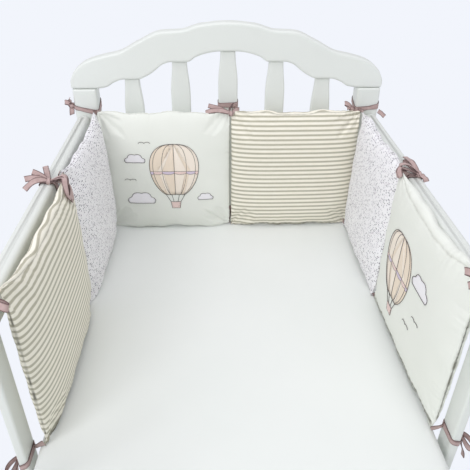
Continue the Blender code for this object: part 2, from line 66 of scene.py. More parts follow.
def shade(code):
    """A printed colour code as the linear colour that a shader takes."""
    levels = np.array([int(code[at:at + 2], 16) for at in (1, 3, 5)]) / 255
    linear = np.where(levels <= 0.04045, levels / 12.92, ((levels + 0.055) / 1.055) ** 2.4)
    return (*linear.tolist(), 1.0)


def feed(tree, node, inputs):
    """Link each input that is given a socket, and set each that is given a value."""
    for name, value in inputs.items():
        if isinstance(value, bpy.types.NodeSocket):
            tree.links.new(value, node.inputs[name])
        else:
            node.inputs[name].default_value = value


def add_node(tree, kind, inputs=None, **settings):
    """A shader node with its settings and its inputs."""
    made = tree.nodes.new(kind)
    for name, value in settings.items():
        setattr(made, name, value)
    feed(tree, made, inputs or {})
    return made


def maths(tree, operation, *values):
    """The result of one sum on sockets and numbers."""
    return add_node(tree, "ShaderNodeMath", dict(enumerate(values)), operation=operation).outputs["Value"]


def noise(tree, place, scale, detail):
    """Soft clouds from 0 to 1, about 1 / scale metres apart."""
    settings = {"Vector": place, "Scale": scale, "Detail": detail}
    return add_node(tree, "ShaderNodeTexNoise", settings).outputs["Fac"]


def mixed(tree, share, first, second):
    """A colour on the way from the first to the second."""
    return add_node(tree, "ShaderNodeMix", {"Factor": share, "A": first, "B": second},
                    data_type="RGBA").outputs["Result"]


def ranged(tree, value, low, high, to_low=0.0, to_high=1.0):
    """The value carried in proportion from one range to another, and held at its ends."""
    return add_node(tree, "ShaderNodeMapRange", {"Value": value, "From Min": low, "From Max": high,
                                                 "To Min": to_low, "To Max": to_high}).outputs["Result"]


def new_material(name):
    material = bpy.data.materials.new(name)
    material.use_nodes = True
    tree = material.node_tree
    return material, tree, tree.nodes["Principled BSDF"]


def object_place(tree, stretch):
    place = add_node(tree, "ShaderNodeTexCoord").outputs["Object"]
    return add_node(tree, "ShaderNodeMapping", {"Vector": place, "Scale": stretch}).outputs["Vector"]


def painted_wood(name, grain):
    """White satin paint over wood; `grain` is small along the stick, so the marks run with it."""
    material, tree, shader = new_material(name)
    along = object_place(tree, grain)
    cloud = noise(tree, along, 9.0, 2.0)
    relief = add_node(tree, "ShaderNodeBump", {"Height": noise(tree, along, 260.0, 3.0),
                                               "Strength": 0.12, "Distance": 0.0004})
    feed(tree, shader, {"Base Color": mixed(tree, cloud, shade(PAINT_IN_HOLLOWS), shade(PAINT)),
                        "Roughness": ranged(tree, cloud, 0.0, 1.0, 0.34, 0.46),
                        "Normal": relief.outputs["Normal"]})
    return material


PAINTED = {
    0: painted_wood("paint_across", (0.06, 1, 1)),
    1: painted_wood("paint_along", (1, 0.06, 1)),
    2: painted_wood("paint_upright", (1, 1, 0.06)),
}


def ring_quads(rings, spots):
    """Corner numbers of the quads between neighbouring rings, each of which closes on itself."""
    ring, spot = np.meshgrid(np.arange(rings - 1), np.arange(spots), indexing="ij")
    after = (spot + 1) % spots
    corners = (ring * spots + spot, ring * spots + after,
               (ring + 1) * spots + after, (ring + 1) * spots + spot)
    return np.stack(corners, -1).reshape(-1, 4)


def put(name, data):
    """An object of that data in the scene, at the origin."""
    placed = bpy.data.objects.new(name, data)
    bpy.context.scene.collection.objects.link(placed)
    return placed


def make_piece(name, points, faces, material):
    """An object at the origin from an array of points and lists of corner numbers, facing outwards."""
    mesh = bpy.data.meshes.new(name)
    mesh.from_pydata(points.reshape(-1, 3).tolist(), [], faces)
    shell = bmesh.new()
    shell.from_mesh(mesh)
    bmesh.ops.recalc_face_normals(shell, faces=shell.faces)
    shell.to_mesh(mesh)
    shell.free()
    mesh.polygons.foreach_set("use_smooth", np.full(len(mesh.polygons), True))
    mesh.materials.append(material)
    piece = put(name, mesh)
    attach(piece, "root")
    return piece


def stacked(*columns):
    """One array of points from a column for each of x, y and z, whose shapes fit one another."""
    return np.stack(np.broadcast_arrays(*columns), -1)


def corners_of(node):
    return np.array(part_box(node))


def capped_quads(rings, spots):
    """The quads of ring_quads, and the first and last ring filled in."""
    ends = [list(range(spots)), list(range((rings - 1) * spots, rings * spots))]
    return ring_quads(rings, spots).tolist() + ends


def capped_rings(name, rings, material):
    """A closed solid from an array of rings (ring, spot, xyz)."""
    return make_piece(name, rings, capped_quads(*rings.shape[:2]), material)


def rounded_section(half_a, half_b, radius):
    """A rectangle with quarter-circle corners, once round; the sizes may be columns of numbers."""
    sweep = np.linspace(0, math.pi / 2, ARC)
    sweep = np.concatenate([[0], sweep, [math.pi / 2]])
    slide = np.tile(np.concatenate([[-SHOULDER], np.zeros(ARC), [SHOULDER]]), 4)
    angle = (np.arange(4)[:, None] * math.pi / 2 + sweep).ravel()
    side_a = np.repeat([1, -1, -1, 1], ARC + 2)
    side_b = np.repeat([1, 1, -1, -1], ARC + 2)
    a = side_a * (half_a - radius) + radius * np.cos(angle) - slide * np.sin(angle)
    b = side_b * (half_b - radius) + radius * np.sin(angle) + slide * np.cos(angle)
    return a, b


def eased_ends(low, high, ease, between=0):
    """Places along a stick and how far its section is drawn in there: quarter circles at the ends."""
    turn = np.linspace(math.pi / 2, 0, ARC)
    place = np.concatenate([[0], ease * (1 - np.sin(turn)), [ease + SHOULDER]])
    inset = np.concatenate([[ease + SHOULDER / 2], ease * (1 - np.cos(turn)), [0]])
    middle = np.linspace(low + ease + SHOULDER, high - ease - SHOULDER, between + 2)[1:-1]
    places = np.concatenate([low + place, middle, high - place[::-1]])
    return places, np.concatenate([inset, np.zeros(between), inset[::-1]])


def stick(name, low, high, edge):
    """A squared stick between two corners: a rounded section carried along its longest side."""
    low, high = np.array(low), np.array(high)
    length_way = int(np.argmax(high - low))
    way_a, way_b = [way for way in range(3) if way != length_way]
    half = (high - low) / 2
    middle = (high + low) / 2
    places, inset = eased_ends(low[length_way], high[length_way], edge * END_EDGE)
    inset = inset[:, None]
    a, b = rounded_section(half[way_a] - inset, half[way_b] - inset, edge - inset)
    rings = np.empty(a.shape + (3,))
    rings[..., length_way] = places[:, None]
    rings[..., way_a] = middle[way_a] + a
    rings[..., way_b] = middle[way_b] + b
    return capped_rings(name, rings, PAINTED[length_way])


def stick_for(node, edge):
    piece = stick(node.replace("_", "_timber_", 1), *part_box(node), edge)
    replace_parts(piece, node)
    return piece


for end in ("head", "foot"):
    for side in ("left", "right"):
        stick_for(f"post_{end}_{side}", POST_EDGE)
for node in ("rail_head_bottom", "rail_foot_top", "rail_left_bottom", "rail_right_bottom"):
    stick_for(node, RAIL_EDGE)
side_slats = [node for node in sorted(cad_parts) if node.startswith(("slat_left", "slat_right"))]
for node in side_slats:
    stick_for(node, SLAT_EDGE)


# ---- foot end ---------------------------------------------------------------------------------------
# Five straight slats stand in a bottom rail.  They are let into it and glued, so the frame has them
# as one piece of wood; here each is its own stick, seated on the rail.

SLAT_PITCH = 0.105               # from the middle of one end slat to the next
SLAT_WIDTH = 0.043
SLAT_THICK = 0.014
BOTTOM_RAIL_TALL = 0.055
SEAT = 0.002                     # how deep a foot slat goes into its rail

comb_low, comb_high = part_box("rail_foot_bottom")
foot_wall = (comb_low.y + comb_high.y) / 2
foot_rail_top = comb_low.z + BOTTOM_RAIL_TALL
foot_sticks = [stick("rail_timber_foot_bottom", comb_low, (comb_high.x, comb_high.y, foot_rail_top),
                     RAIL_EDGE)]
for index in range(-2, 3):
    across = index * SLAT_PITCH
    foot_sticks.append(stick(
        f"slat_timber_foot_{index + 3}",
        (across - SLAT_WIDTH / 2, foot_wall - SLAT_THICK / 2, foot_rail_top - SEAT),
        (across + SLAT_WIDTH / 2, foot_wall + SLAT_THICK / 2, comb_high.z), SLAT_EDGE))
for piece in foot_sticks:
    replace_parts(piece, "rail_foot_bottom")


# ---- head end ---------------------------------------------------------------------------------------
# A board sawn to a waved arch, its edges rounded over, sits on the head posts.  Five slats stand
# under it.  Each is narrowed to a waist where it meets the arch and where it meets the lower rail.

# The right half of the arch's top and bottom edges: distance from the middle, height off the floor.
ARCH_TOP = np.array((
    (0.000, 0.9570), (0.057, 0.9520), (0.100, 0.9405), (0.140, 0.9385), (0.190, 0.9180),
    (0.233, 0.8965), (0.267, 0.8890), (0.303, 0.8780), (0.331, 0.8575), (0.342, 0.8380)))
ARCH_BOTTOM = np.array((
    (0.000, 0.8970), (0.018, 0.8970), (0.042, 0.8940), (0.068, 0.8860), (0.087, 0.8750),
    (0.123, 0.8750), (0.141, 0.8700), (0.158, 0.8570), (0.177, 0.8450), (0.196, 0.8380),
    (0.228, 0.8380), (0.250, 0.8310), (0.266, 0.8215), (0.289, 0.8183), (0.342, 0.8183)))
ARCH_EDGE = 0.0055
ARCH_STATIONS = 150
WAIST_WIDTH = 0.032
WAIST_LENGTH = 0.070
WAIST_STATIONS = 60


def through(x, knots):
    """A smooth curve through the knots that never overshoots them.

    It is a cubic between neighbours.  Its slope at a knot is the harmonic mean of the slopes to
    either side, or zero where those disagree in sign or one of them is flat."""
    at, height = knots[:, 0], knots[:, 1]
    steps = np.diff(height) / np.diff(at)
    before, after = np.append(0, steps), np.append(steps, steps[-1])
    same_way = before * after > 0
    slope = np.where(same_way, 2 * before * after / np.where(same_way, before + after, 1), 0)
    slope[-1] = steps[-1]
    span = np.clip(np.searchsorted(at, x) - 1, 0, len(at) - 2)
    width = at[span + 1] - at[span]
    s = (x - at[span]) / width
    return ((1 + 2 * s) * (1 - s) ** 2 * height[span] + s * (1 - s) ** 2 * width * slope[span]
            + s * s * (3 - 2 * s) * height[span + 1] - s * s * (1 - s) * width * slope[span + 1])


arch_low, arch_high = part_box("rail_head_top")
head_wall = (arch_low.y + arch_high.y) / 2
station, inset = eased_ends(arch_low.x, arch_high.x, ARCH_EDGE * END_EDGE, ARCH_STATIONS)
top_edge = through(np.abs(station), ARCH_TOP)
bottom_edge = through(np.abs(station), ARCH_BOTTOM)
depth, height = rounded_section((arch_high.y - arch_low.y) / 2 - inset[:, None],
                                (top_edge - bottom_edge)[:, None] / 2 - inset[:, None],
                                ARCH_EDGE - inset[:, None])
arch = stacked(station[:, None], head_wall + depth, (top_edge + bottom_edge)[:, None] / 2 + height)
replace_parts(capped_rings("rail_timber_head_top", arch, PAINTED[0]), "rail_head_top")

for index in range(5):
    node = f"slat_head_{index + 1}"
    low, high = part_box(node)
    up, inset = eased_ends(low.z, high.z, SLAT_EDGE * END_EDGE, WAIST_STATIONS)
    from_end = np.clip(np.minimum(up - low.z, high.z - up) / WAIST_LENGTH, 0, 1)
    half_width = (WAIST_WIDTH + (SLAT_WIDTH - WAIST_WIDTH) * from_end ** 2 * (3 - 2 * from_end)) / 2
    a, b = rounded_section((half_width - inset)[:, None], SLAT_THICK / 2 - inset[:, None],
                           SLAT_EDGE - inset[:, None])
    slat = stacked((low.x + high.x) / 2 + a, head_wall + b, up[:, None])
    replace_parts(capped_rings(f"slat_timber_head_{index + 1}", slat, PAINTED[2]), node)


# ---- side top rails ---------------------------------------------------------------------------------
# One long stick on each side, its ends sawn half round and its edges eased.  A screw goes down
# through each end into the post's bracket, and its head lies in a small drilled hole.

RAIL_END_STEPS = 24              # points round each half-round end
TOP_RAIL_EDGE = 0.0065
SCREW_FROM_END = 0.011
SCREW_HOLE = 0.0025
SCREW_HOLE_DEEP = 0.006


def drill(piece, spot, radius, deep):
    """Cut a round hole straight down into the piece's top at that spot."""
    turn = np.linspace(0, 2 * math.pi, 24, endpoint=False)
    heights = np.array([-deep, deep])[:, None]
    rings = stacked(spot[0] + radius * np.cos(turn), spot[1] + radius * np.sin(turn), spot[2] + heights)
    bit = capped_rings("drill_bit", rings, PAINTED[2])
    cut = piece.modifiers.new("hole", "BOOLEAN")
    cut.object = bit
    cut.operation = "DIFFERENCE"
    bpy.context.view_layer.objects.active = piece
    bpy.ops.object.modifier_apply(modifier=cut.name)
    bpy.data.objects.remove(bit)


for side in ("left", "right"):
    node = f"rail_{side}_top"
    low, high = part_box(node)
    radius = (high.x - low.x) / 2
    straight = (high.y - low.y) / 2 - radius
    turn = np.linspace(0, math.pi, RAIL_END_STEPS)
    turn = np.concatenate([turn, turn + math.pi])
    up, inset = eased_ends(low.z, high.z, TOP_RAIL_EDGE)
    reach = radius - inset[:, None]
    rings = stacked((low.x + high.x) / 2 + reach * np.cos(turn),
                    np.where(turn <= math.pi, straight, -straight) + reach * np.sin(turn), up[:, None])
    rail = capped_rings(f"rail_timber_{side}_top", rings, PAINTED[1])
    for end in (low.y + SCREW_FROM_END, high.y - SCREW_FROM_END):
        drill(rail, ((low.x + high.x) / 2, end, high.z), SCREW_HOLE, SCREW_HOLE_DEEP)
    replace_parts(rail, node)


# ---- mattress ---------------------------------------------------------------------------------------
# A foam mattress on a bare board.  A white fitted sheet is drawn tight over it, so its edges are
# round and soft, and only faint slack runs across the top.

SHEET_WHITE = "#EEF0ED"
SHEET_IN_HOLLOWS = "#E5E9E5"
EDGE_RINGS = 9                   # round each edge of the mattress
SIDE_RINGS = 6
TOP_RINGS = 39
SHEET_SPOTS = 480                # in each ring
MATTRESS_EDGE = 0.016
MATTRESS_CORNER = 0.022
SLACK = 0.0012                   # rise and fall of the sheet's top
BOARD_LIGHT = "#D9C19B"
BOARD_DARK = "#C4A878"


def cotton(name, weave_strength=0.25):
    """Plain woven cotton: two crossed sets of fine threads as relief, a matt face and a little fuzz."""
    material, tree, shader = new_material(name)
    place = add_node(tree, "ShaderNodeTexCoord").outputs["UV"]
    warp, weft = (add_node(tree, "ShaderNodeTexWave", {"Vector": place, "Scale": 330.0, "Distortion": 0.6},
                           bands_direction=way).outputs["Fac"] for way in "XY")
    height = maths(tree, "ADD", maths(tree, "MAXIMUM", warp, weft), noise(tree, place, 420.0, 4.0))
    relief = add_node(tree, "ShaderNodeBump", {"Height": height, "Strength": weave_strength,
                                               "Distance": 0.00025})
    feed(tree, shader, {"Normal": relief.outputs["Normal"], "Roughness": 0.88, "Sheen Weight": 0.12,
                        "Sheen Roughness": 0.5, "Specular IOR Level": 0.25})
    return material, tree, shader, place


def clouded(tree, place, dark, light, scale=7.0):
    """The slight unevenness of a dyed cloth: soft clouds between two near colours."""
    return mixed(tree, noise(tree, place, scale, 3.0), shade(dark), shade(light))


def lay_uv(piece, places):
    """Give each corner of the mesh the cloth measure of its point, in metres."""
    mesh = piece.data
    corners = np.empty(len(mesh.loops), dtype=np.int32)
    mesh.loops.foreach_get("vertex_index", corners)
    layer = mesh.uv_layers.new(name="cloth")
    layer.data.foreach_set("uv", places.reshape(-1, 2)[corners].astype(np.float32).ravel())


def run_along(line):
    """Each point's distance along the line, from its start."""
    return np.concatenate([[0], np.cumsum(np.linalg.norm(np.diff(line, axis=0), axis=1))])


def sheeted_mattress():
    """Rings from the rim of the underside, up the side and in to the middle of the top.

    Each ring is a rectangle with round corners, drawn in by a quarter circle at the mattress's lower
    and upper edges.  The top rises and falls by three long slanting waves, faded out at the sides."""
    low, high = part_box("mattress")
    half = np.array((high - low) / 2)
    centre = np.array((high + low) / 2)
    turn = np.linspace(0, math.pi / 2, EDGE_RINGS)
    drawn = MATTRESS_EDGE * (1 - np.sin(turn))
    rise = MATTRESS_EDGE * (1 - np.cos(turn))
    side = np.linspace(low.z + MATTRESS_EDGE, high.z - MATTRESS_EDGE, SIDE_RINGS + 2)[1:-1]
    height = np.concatenate([low.z + rise, side, high.z - rise[::-1], np.full(TOP_RINGS, high.z)])
    draw = np.concatenate([drawn, np.zeros(SIDE_RINGS), drawn[::-1], np.full(TOP_RINGS, MATTRESS_EDGE)])
    shrink = np.concatenate([np.ones(2 * EDGE_RINGS + SIDE_RINGS), np.linspace(1, 0, TOP_RINGS + 1)[1:]])
    plan = np.stack(rounded_section(half[0], half[1], MATTRESS_CORNER), -1)
    plan = np.concatenate([plan, plan[:1]])
    run = run_along(plan)
    at = np.linspace(0, run[-1], SHEET_SPOTS, endpoint=False)
    x = (1 - draw / half[0])[:, None] * np.interp(at, run, plan[:, 0]) * shrink[:, None]
    y = (1 - draw / half[1])[:, None] * np.interp(at, run, plan[:, 1]) * shrink[:, None]
    z = np.broadcast_to(height[:, None], x.shape).copy()
    on_top = (1 - shrink)[:, None]
    waves = (np.sin(17 * x + 6 * y + 1.0) + np.sin(9 * y - 5 * x) + np.sin(23 * y + 11 * x + 2.0)) / 3
    z -= SLACK * (1 - waves) / 2 * np.clip(on_top * 8, 0, 1)
    rings = np.stack([centre[0] + x, centre[1] + y, z], -1)
    material, tree, shader, place = cotton("white_sheet", 0.15)
    feed(tree, shader, {"Base Color": clouded(tree, place, SHEET_IN_HOLLOWS, SHEET_WHITE, 4.0)})
    piece = capped_rings("mattress_in_sheet", rings, material)
    lay_uv(piece, rings[..., :2] + rings[..., 2:] * 0.7)
    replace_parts(piece, "mattress")


def bare_board():
    """Planed board: long grain lines along Y between two browns."""
    material, tree, shader = new_material("bare_board")
    place = object_place(tree, (1, 0.05, 1))
    tint = mixed(tree, noise(tree, place, 90.0, 5.0), shade(BOARD_DARK), shade(BOARD_LIGHT))
    feed(tree, shader, {"Base Color": tint, "Roughness": 0.6})
    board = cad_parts["mattress_base"]
    board.data.materials.clear()
    board.data.materials.append(material)


sheeted_mattress()
bare_board()


# ---- pads -------------------------------------------------------------------------------------------
# Each pad is a cotton cover of two square panels, stuffed with soft wadding and sewn shut all round.
# The seam runs at mid thickness, draws in between the corners, and gathers the cloth into puckers.
# The cover starts from the shape of the solid, a little slack, and is then blown up as cloth.

PAD_HEIGHT = 0.291
PAD_THICK = 0.046
CROWN = 3.4                      # higher is flatter in the middle
SIDE_ROUNDNESS = 0.46            # lower is fuller at the seam
DRAWN_IN = 0.008                 # how far the seam draws in between corners, of the pad's width
CORNER_PULL = 0.002              # how far each corner is pinched in
GATHER_DEPTH = 0.20              # dip of a wide gather beside the seam, of the pad's thickness
GATHERS = 4.5                    # wide gathers along one edge
HEM_WAVE = 0.0024                # rise and fall of the seam
CLOTH_CLEARANCE = 0.0022         # what a pad's back keeps from the timber behind it
SHEET_CLEARANCE = 0.0003         # the same, from the sheet below it
PAST_SOLID = 0.0012              # how far a cover may reach past its solid's ends
SLACKNESS = 0.93                 # thickness before the pressure, of the pad's full thickness
SIMULATED_CELLS = 56             # along each edge of a panel
SEWN_CELLS = 148                 # the same, for the finished cover
EDGE_CROWDING = 1.7              # higher packs the grid closer to the seam
FRAMES = 16
CLOTH = {"quality": 5, "mass": 0.2, "tension_stiffness": 12, "compression_stiffness": 12,
         "shear_stiffness": 4, "bending_stiffness": 0.4, "shrink_min": -0.02, "use_pressure": True,
         "uniform_pressure_force": 3.5}
FURTHEST = 0.0060                # the cap on how far the pressure may move a point
SEAM_HOLD = 0.85                 # share of the seam's drawing-in that its doubled edge resists
PUCKER_PITCH = 0.0125
PUCKER_DEPTH = 0.0016
PUCKER_LENGTH = 0.030
CREASE_DEPTH = 0.0022            # of the folds that run in from a tied corner
CREASE_LENGTH = 0.075
CREASE_START = 0.018             # where a crease is deepest, from its corner
SEAM_GROOVE = 0.0012
GROOVE_WIDTH = 0.0022
SEAM_SHADOW_HALF_WIDTH = 0.0018               # half width of the painted shadow in the seam
FOOT_SHADOW_HEIGHT = 0.0050               # height of the painted contact shadow where a pad turns under to its lower seam
FOOT_SHADOW_STRENGTH = 0.9                 # how dark that painted shadow is, of the painted shadow in the seam
ROLL_REACH = 0.62                # how far from a seam the cloth moves with it
FOOT_ROLL = 0.17                 # the roll of each pad's lower seam
FIRST_SEED = 40

PAD_WALLS = {                    # a point on the wall's inner face, the way along it, the way inwards
    "head": np.array(((0, 0.602, 0), (1, 0, 0), (0, -1, 0))),
    "left": np.array(((-0.310, 0, 0), (0, 1, 0), (1, 0, 0))),
    "right": np.array(((0.310, 0, 0), (0, 1, 0), (-1, 0, 0))),
}
PAD_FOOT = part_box("mattress")[1].z + SHEET_CLEARANCE
# name: wall, start and end along it, seam's distance from the wall at each, lean, sag, the roll of
# the top seam, cloth, folds
PADS = {
    "head_left": ("head", -0.289, 0.0035, 0.024, 0.025, 0.007, 0.000, 0.03, "plain_cotton", 0.3),
    "head_right": ("head", 0.005, 0.297, 0.025, 0.023, 0.007, 0.000, 0.16, "striped_cotton", 2.1),
    "left_head": ("left", 0.272, 0.564, 0.0175, 0.0225, 0.010, 0.006, 0.03, "dotted_cotton", 1.2),
    "left_foot": ("left", -0.054, 0.269, 0.015, 0.020, 0.002, 0.005, 0.22, "striped_cotton", 3.0),
    "right_head": ("right", 0.281, 0.565, 0.019, 0.018, 0.009, 0.004, 0.03, "dotted_cotton", 4.4),
    "right_foot": ("right", -0.045, 0.278, 0.014, 0.020, 0.002, 0.004, 0.29, "plain_cotton", 5.2),
}


def toward_seams(cells):
    """Even steps from -1 to 1, then pushed towards both ends: 1 - (1 - |t|) ** EDGE_CROWDING."""
    t = np.linspace(-1, 1, cells + 1)
    return np.sign(t) * (1 - (1 - np.abs(t)) ** EDGE_CROWDING)


def rolled(v, panel_side, top, foot):
    """Where a panel's cloth lies when the seams have rolled forward, and on which side of the pad.

    From a seam the way over the pad is measured by sqrt(1 - |v|), positive on the front.  Cloth at a
    distance d moves by (1 - (d / ROLL_REACH)^2)^2 of the roll, so past ROLL_REACH it stays."""
    roll = np.where(v > 0, top, foot)
    away = panel_side * np.sqrt(1 - np.abs(v))
    away = away + roll * (1 - np.minimum(np.abs(away) / ROLL_REACH, 1) ** 2) ** 2
    return np.where(v < 0, -1, 1) * (1 - away ** 2), np.where(away < 0, -1, 1)


def pad_panels(name, cells, fullness):
    """The pad's two panels as arrays (panel, u, v, xyz), u along the wall and v up it, -1 to 1.

    The half thickness is a rounded square's: ((1 - |u|^CROWN)(1 - |v|^CROWN))^SIDE_ROUNDNESS, less
    some wide dips beside the seam.  Width and height draw in by the square of the distance from a
    corner, and the corners themselves are pinched in.  The top hangs between its ties by its sag.
    The top seam has rolled forward between its ties, and the bottom seam a little all along."""
    wall, start, end, seam_start, seam_end, lean, sag, roll, _, folds = PADS[name]
    origin, along_way, inward = PAD_WALLS[wall]
    line = toward_seams(cells)
    u, v = np.meshgrid(line, line, indexing="ij")
    width = end - start
    between_ties = 1 - u ** 4
    wall_point = origin + (start + end) / 2 * along_way
    panels = []
    for panel_side in (1, -1):
        w, face = rolled(v, panel_side, roll * between_ties, FOOT_ROLL * between_ties)
        swell = ((1 - np.abs(u) ** CROWN) * (1 - np.abs(w) ** CROWN)) ** SIDE_ROUNDNESS
        pinch = CORNER_PULL * (np.abs(u) * np.abs(w)) ** 18
        waves = np.sin(6.3 * u + 2.4 * folds) + 0.5 * np.sin(15 * u + folds)
        hem = HEM_WAVE * waves * np.abs(w) ** 8
        along = u * (width / 2 * (1 - DRAWN_IN * (1 - w * w)) - pinch)
        above = w * (PAD_HEIGHT / 2 * (1 - DRAWN_IN * (1 - u * u)) - pinch) + hem
        above += sag * (2 * u * u - 1) * np.maximum(w, 0) ** 2
        above = np.maximum(above + PAD_HEIGHT / 2, 0)
        share = 0.5 + along / width
        seam = seam_start * (1 - share) + seam_end * share + lean * (0.5 - above / PAD_HEIGHT)
        edge = np.maximum(np.abs(u), np.abs(w))
        beside = np.where(np.abs(u) > np.abs(w), w, u)
        wave = 0.5 + 0.5 * np.cos(beside * math.pi * GATHERS + folds + 2.0 * u + 1.1 * w)
        fade = (1 - np.minimum(np.abs(u), np.abs(w)) ** 4) * edge ** 7
        half_thick = PAD_THICK / 2 * fullness * swell * (1 - GATHER_DEPTH * wave * fade)
        out = np.maximum(seam + face * half_thick, CLOTH_CLEARANCE)
        panels.append(wall_point + along[..., None] * along_way + out[..., None] * inward
                      + (PAD_FOOT + above)[..., None] * np.array((0, 0, 1)))
    return np.stack(panels)


def sewn_numbers(cells):
    """Point numbers of both panels' grids; the back panel shares the front's outermost points."""
    side = cells + 1
    front = np.arange(side * side).reshape(side, side)
    back = front.copy()
    back[1:-1, 1:-1] = side * side + np.arange((side - 2) ** 2).reshape(side - 2, side - 2)
    return front, back


def grid_quads(numbers):
    corners = (numbers[:-1, :-1], numbers[1:, :-1], numbers[1:, 1:], numbers[:-1, 1:])
    return np.stack(corners, -1).reshape(-1, 4)


def sew(panels):
    """One list of points and one of quads for two panels that meet at the seam."""
    cells = panels.shape[1] - 1
    front, back = sewn_numbers(cells)
    points = np.concatenate([panels[0].reshape(-1, 3), panels[1, 1:-1, 1:-1].reshape(-1, 3)])
    return points, np.concatenate([grid_quads(front), grid_quads(back)]), front, back


def blow_up(name, panels):
    """How far cloth under pressure moves each point of the panels, held at the four tied corners.

    The move is capped: it shrinks by FURTHEST / length wherever it is longer than FURTHEST.  Then
    its part in the pad's own plane is cut by SEAM_HOLD * edge ** 8, where edge is 1 at the seam."""
    points, quads, front, back = sew(panels)
    mesh = bpy.data.meshes.new(f"{name}_slack")
    mesh.from_pydata(points.tolist(), [], quads.tolist())
    slack = put(f"{name}_slack", mesh)
    tied = slack.vertex_groups.new(name="tied")
    tied.add([int(front[a, b]) for a in (0, -1) for b in (0, -1)], 1.0, "REPLACE")
    cloth = slack.modifiers.new("cloth", "CLOTH")
    for setting, value in CLOTH.items():
        setattr(cloth.settings, setting, value)
    cloth.settings.vertex_group_mass = "tied"
    cloth.settings.effector_weights.gravity = 0
    cloth.collision_settings.use_collision = False
    cloth.point_cache.frame_start = 1
    cloth.point_cache.frame_end = FRAMES
    for step in range(1, FRAMES + 1):
        bpy.context.scene.frame_set(step)
    blown = slack.evaluated_get(bpy.context.evaluated_depsgraph_get()).to_mesh()
    after = np.empty(len(points) * 3, dtype=np.float32)
    blown.vertices.foreach_get("co", after)
    move = after.reshape(-1, 3) - points
    bpy.context.scene.frame_set(1)
    bpy.data.objects.remove(slack)
    length = np.linalg.norm(move, axis=1, keepdims=True)
    move *= FURTHEST / np.maximum(length, FURTHEST)
    move = np.stack([move[front], move[back]])
    line = np.abs(toward_seams(panels.shape[1] - 1))
    edge = np.maximum(line[:, None], line)[..., None]
    inward = PAD_WALLS[PADS[name][0]][2]
    in_plane = move - (move @ inward)[..., None] * inward
    return move - in_plane * SEAM_HOLD * edge ** 8


def finer(coarse, cells, axes=(1, 2)):
    """The same surface or line with finer steps: a cubic through four neighbours, along each axis."""
    for axis in axes:
        count = coarse.shape[axis]
        t = np.linspace(0, count - 1, cells + 1)
        start = np.clip(t.astype(int), 0, count - 2)
        s = (t - start).reshape((-1,) + (1,) * (coarse.ndim - axis - 1))
        near = [np.take(coarse, np.clip(start + step, 0, count - 1), axis) for step in (-1, 0, 1, 2)]
        coarse = (near[1] + 0.5 * s * (near[2] - near[0] + s * (
            2 * near[0] - 5 * near[1] + 4 * near[2] - near[3]
            + s * (3 * (near[1] - near[2]) + near[3] - near[0]))))
    return coarse


def unit(ways):
    return ways / np.maximum(np.linalg.norm(ways, axis=-1, keepdims=True), 1e-12)


def face_normals(panel):
    """Unit normals on the grid, from the cross product of its two gradients."""
    return unit(np.cross(np.gradient(panel, axis=0), np.gradient(panel, axis=1)))


def cloth_measure(panel, axis):
    """Distance over the cloth from the panel's middle line, along each grid line that crosses it."""
    steps = np.linalg.norm(np.diff(panel, axis=axis), axis=-1)
    run = np.insert(np.cumsum(steps, axis), 0, 0.0, axis)
    return run - np.take(run, [panel.shape[axis] // 2], axis)


def puckered(panels, seed):
    """Press puckers, corner creases and the seam's groove into both panels, along their normals.

    Puckers are rounded ridges across the seam, PUCKER_PITCH apart give or take a third, deepest at
    the seam and gone by PUCKER_LENGTH.  Creases fan out from each corner and fade with distance."""
    draw = np.random.default_rng(seed)
    middle = panels.shape[1] // 2
    on_cloth_grid = [np.stack([cloth_measure(panel, 0), cloth_measure(panel, 1)], -1) for panel in panels]
    over_u, over_v = on_cloth_grid[0][:, middle, 0], on_cloth_grid[0][middle, :, 1]
    u, v = np.meshgrid(over_u, over_v, indexing="ij")
    from_u = over_u[-1] - np.abs(u)
    from_v = over_v[-1] - np.abs(v)
    dent = np.zeros_like(u)
    for away, beside in ((from_u, v), (from_v, u)):
        phase = draw.uniform(0, 2 * math.pi, 4)
        run = beside + 0.004 * np.sin(beside * 71 + phase[0]) + 0.003 * np.sin(beside * 133 + phase[1])
        ridge = 1 - np.abs(np.sin(run * math.pi / PUCKER_PITCH))
        strong = 0.35 + 0.65 * (0.5 + 0.5 * np.sin(beside * 38 + phase[2])) ** 2
        fade = np.exp(-(away / (PUCKER_LENGTH * (0.4 + 0.4 * strong))) ** 2)
        dent += PUCKER_DEPTH * ridge ** 2 * strong * fade
    for side_u in (-1, 1):
        for side_v in (-1, 1):
            reach_u = over_u[-1] - side_u * u
            reach_v = over_v[-1] - side_v * v
            distance = np.hypot(reach_u, reach_v)
            bearing = np.arctan2(reach_v, reach_u)
            fan = np.abs(np.cos(bearing * draw.uniform(4.2, 6.0) + draw.uniform(0, 3))) ** 6
            grow = distance / CREASE_START * np.exp(1 - distance / CREASE_START)
            dent += CREASE_DEPTH * 0.6 * fan * np.minimum(grow, 1.2) * np.exp(-distance / CREASE_LENGTH)
    nearest = np.minimum(from_u, from_v)
    dent += SEAM_GROOVE * np.exp(-(nearest / GROOVE_WIDTH) ** 2)
    pressed = []
    for panel, outward in ((panels[0], 1), (panels[1], -1)):
        normal = face_normals(panel)
        facing = np.sign(np.sum(normal * (panels[0] - panels[1]), axis=-1).sum()) * outward
        pressed.append(panel - normal * facing * dent[..., None])
    pressed = np.stack(pressed)
    rim = nearest < 1e-9
    pressed[1][rim] = pressed[0][rim]
    # painted shade darkening the cloth in each seam's groove, weaker along the top seam
    top_share = np.where(from_v < from_u, np.clip(v / over_v[-1], 0, 1), 0)
    painted_seam_shadow = np.exp(-(nearest / SEAM_SHADOW_HALF_WIDTH) ** 2) * (1 - 0.6 * top_share)
    # a painted contact shadow on the strip just above the lower seam, where the pad meets the sheet
    painted_seam_shadow = np.maximum(painted_seam_shadow, FOOT_SHADOW_STRENGTH * np.exp(-(from_v / FOOT_SHADOW_HEIGHT) ** 4) * (v < 0))
    return pressed, (over_u, over_v), on_cloth_grid, painted_seam_shadow


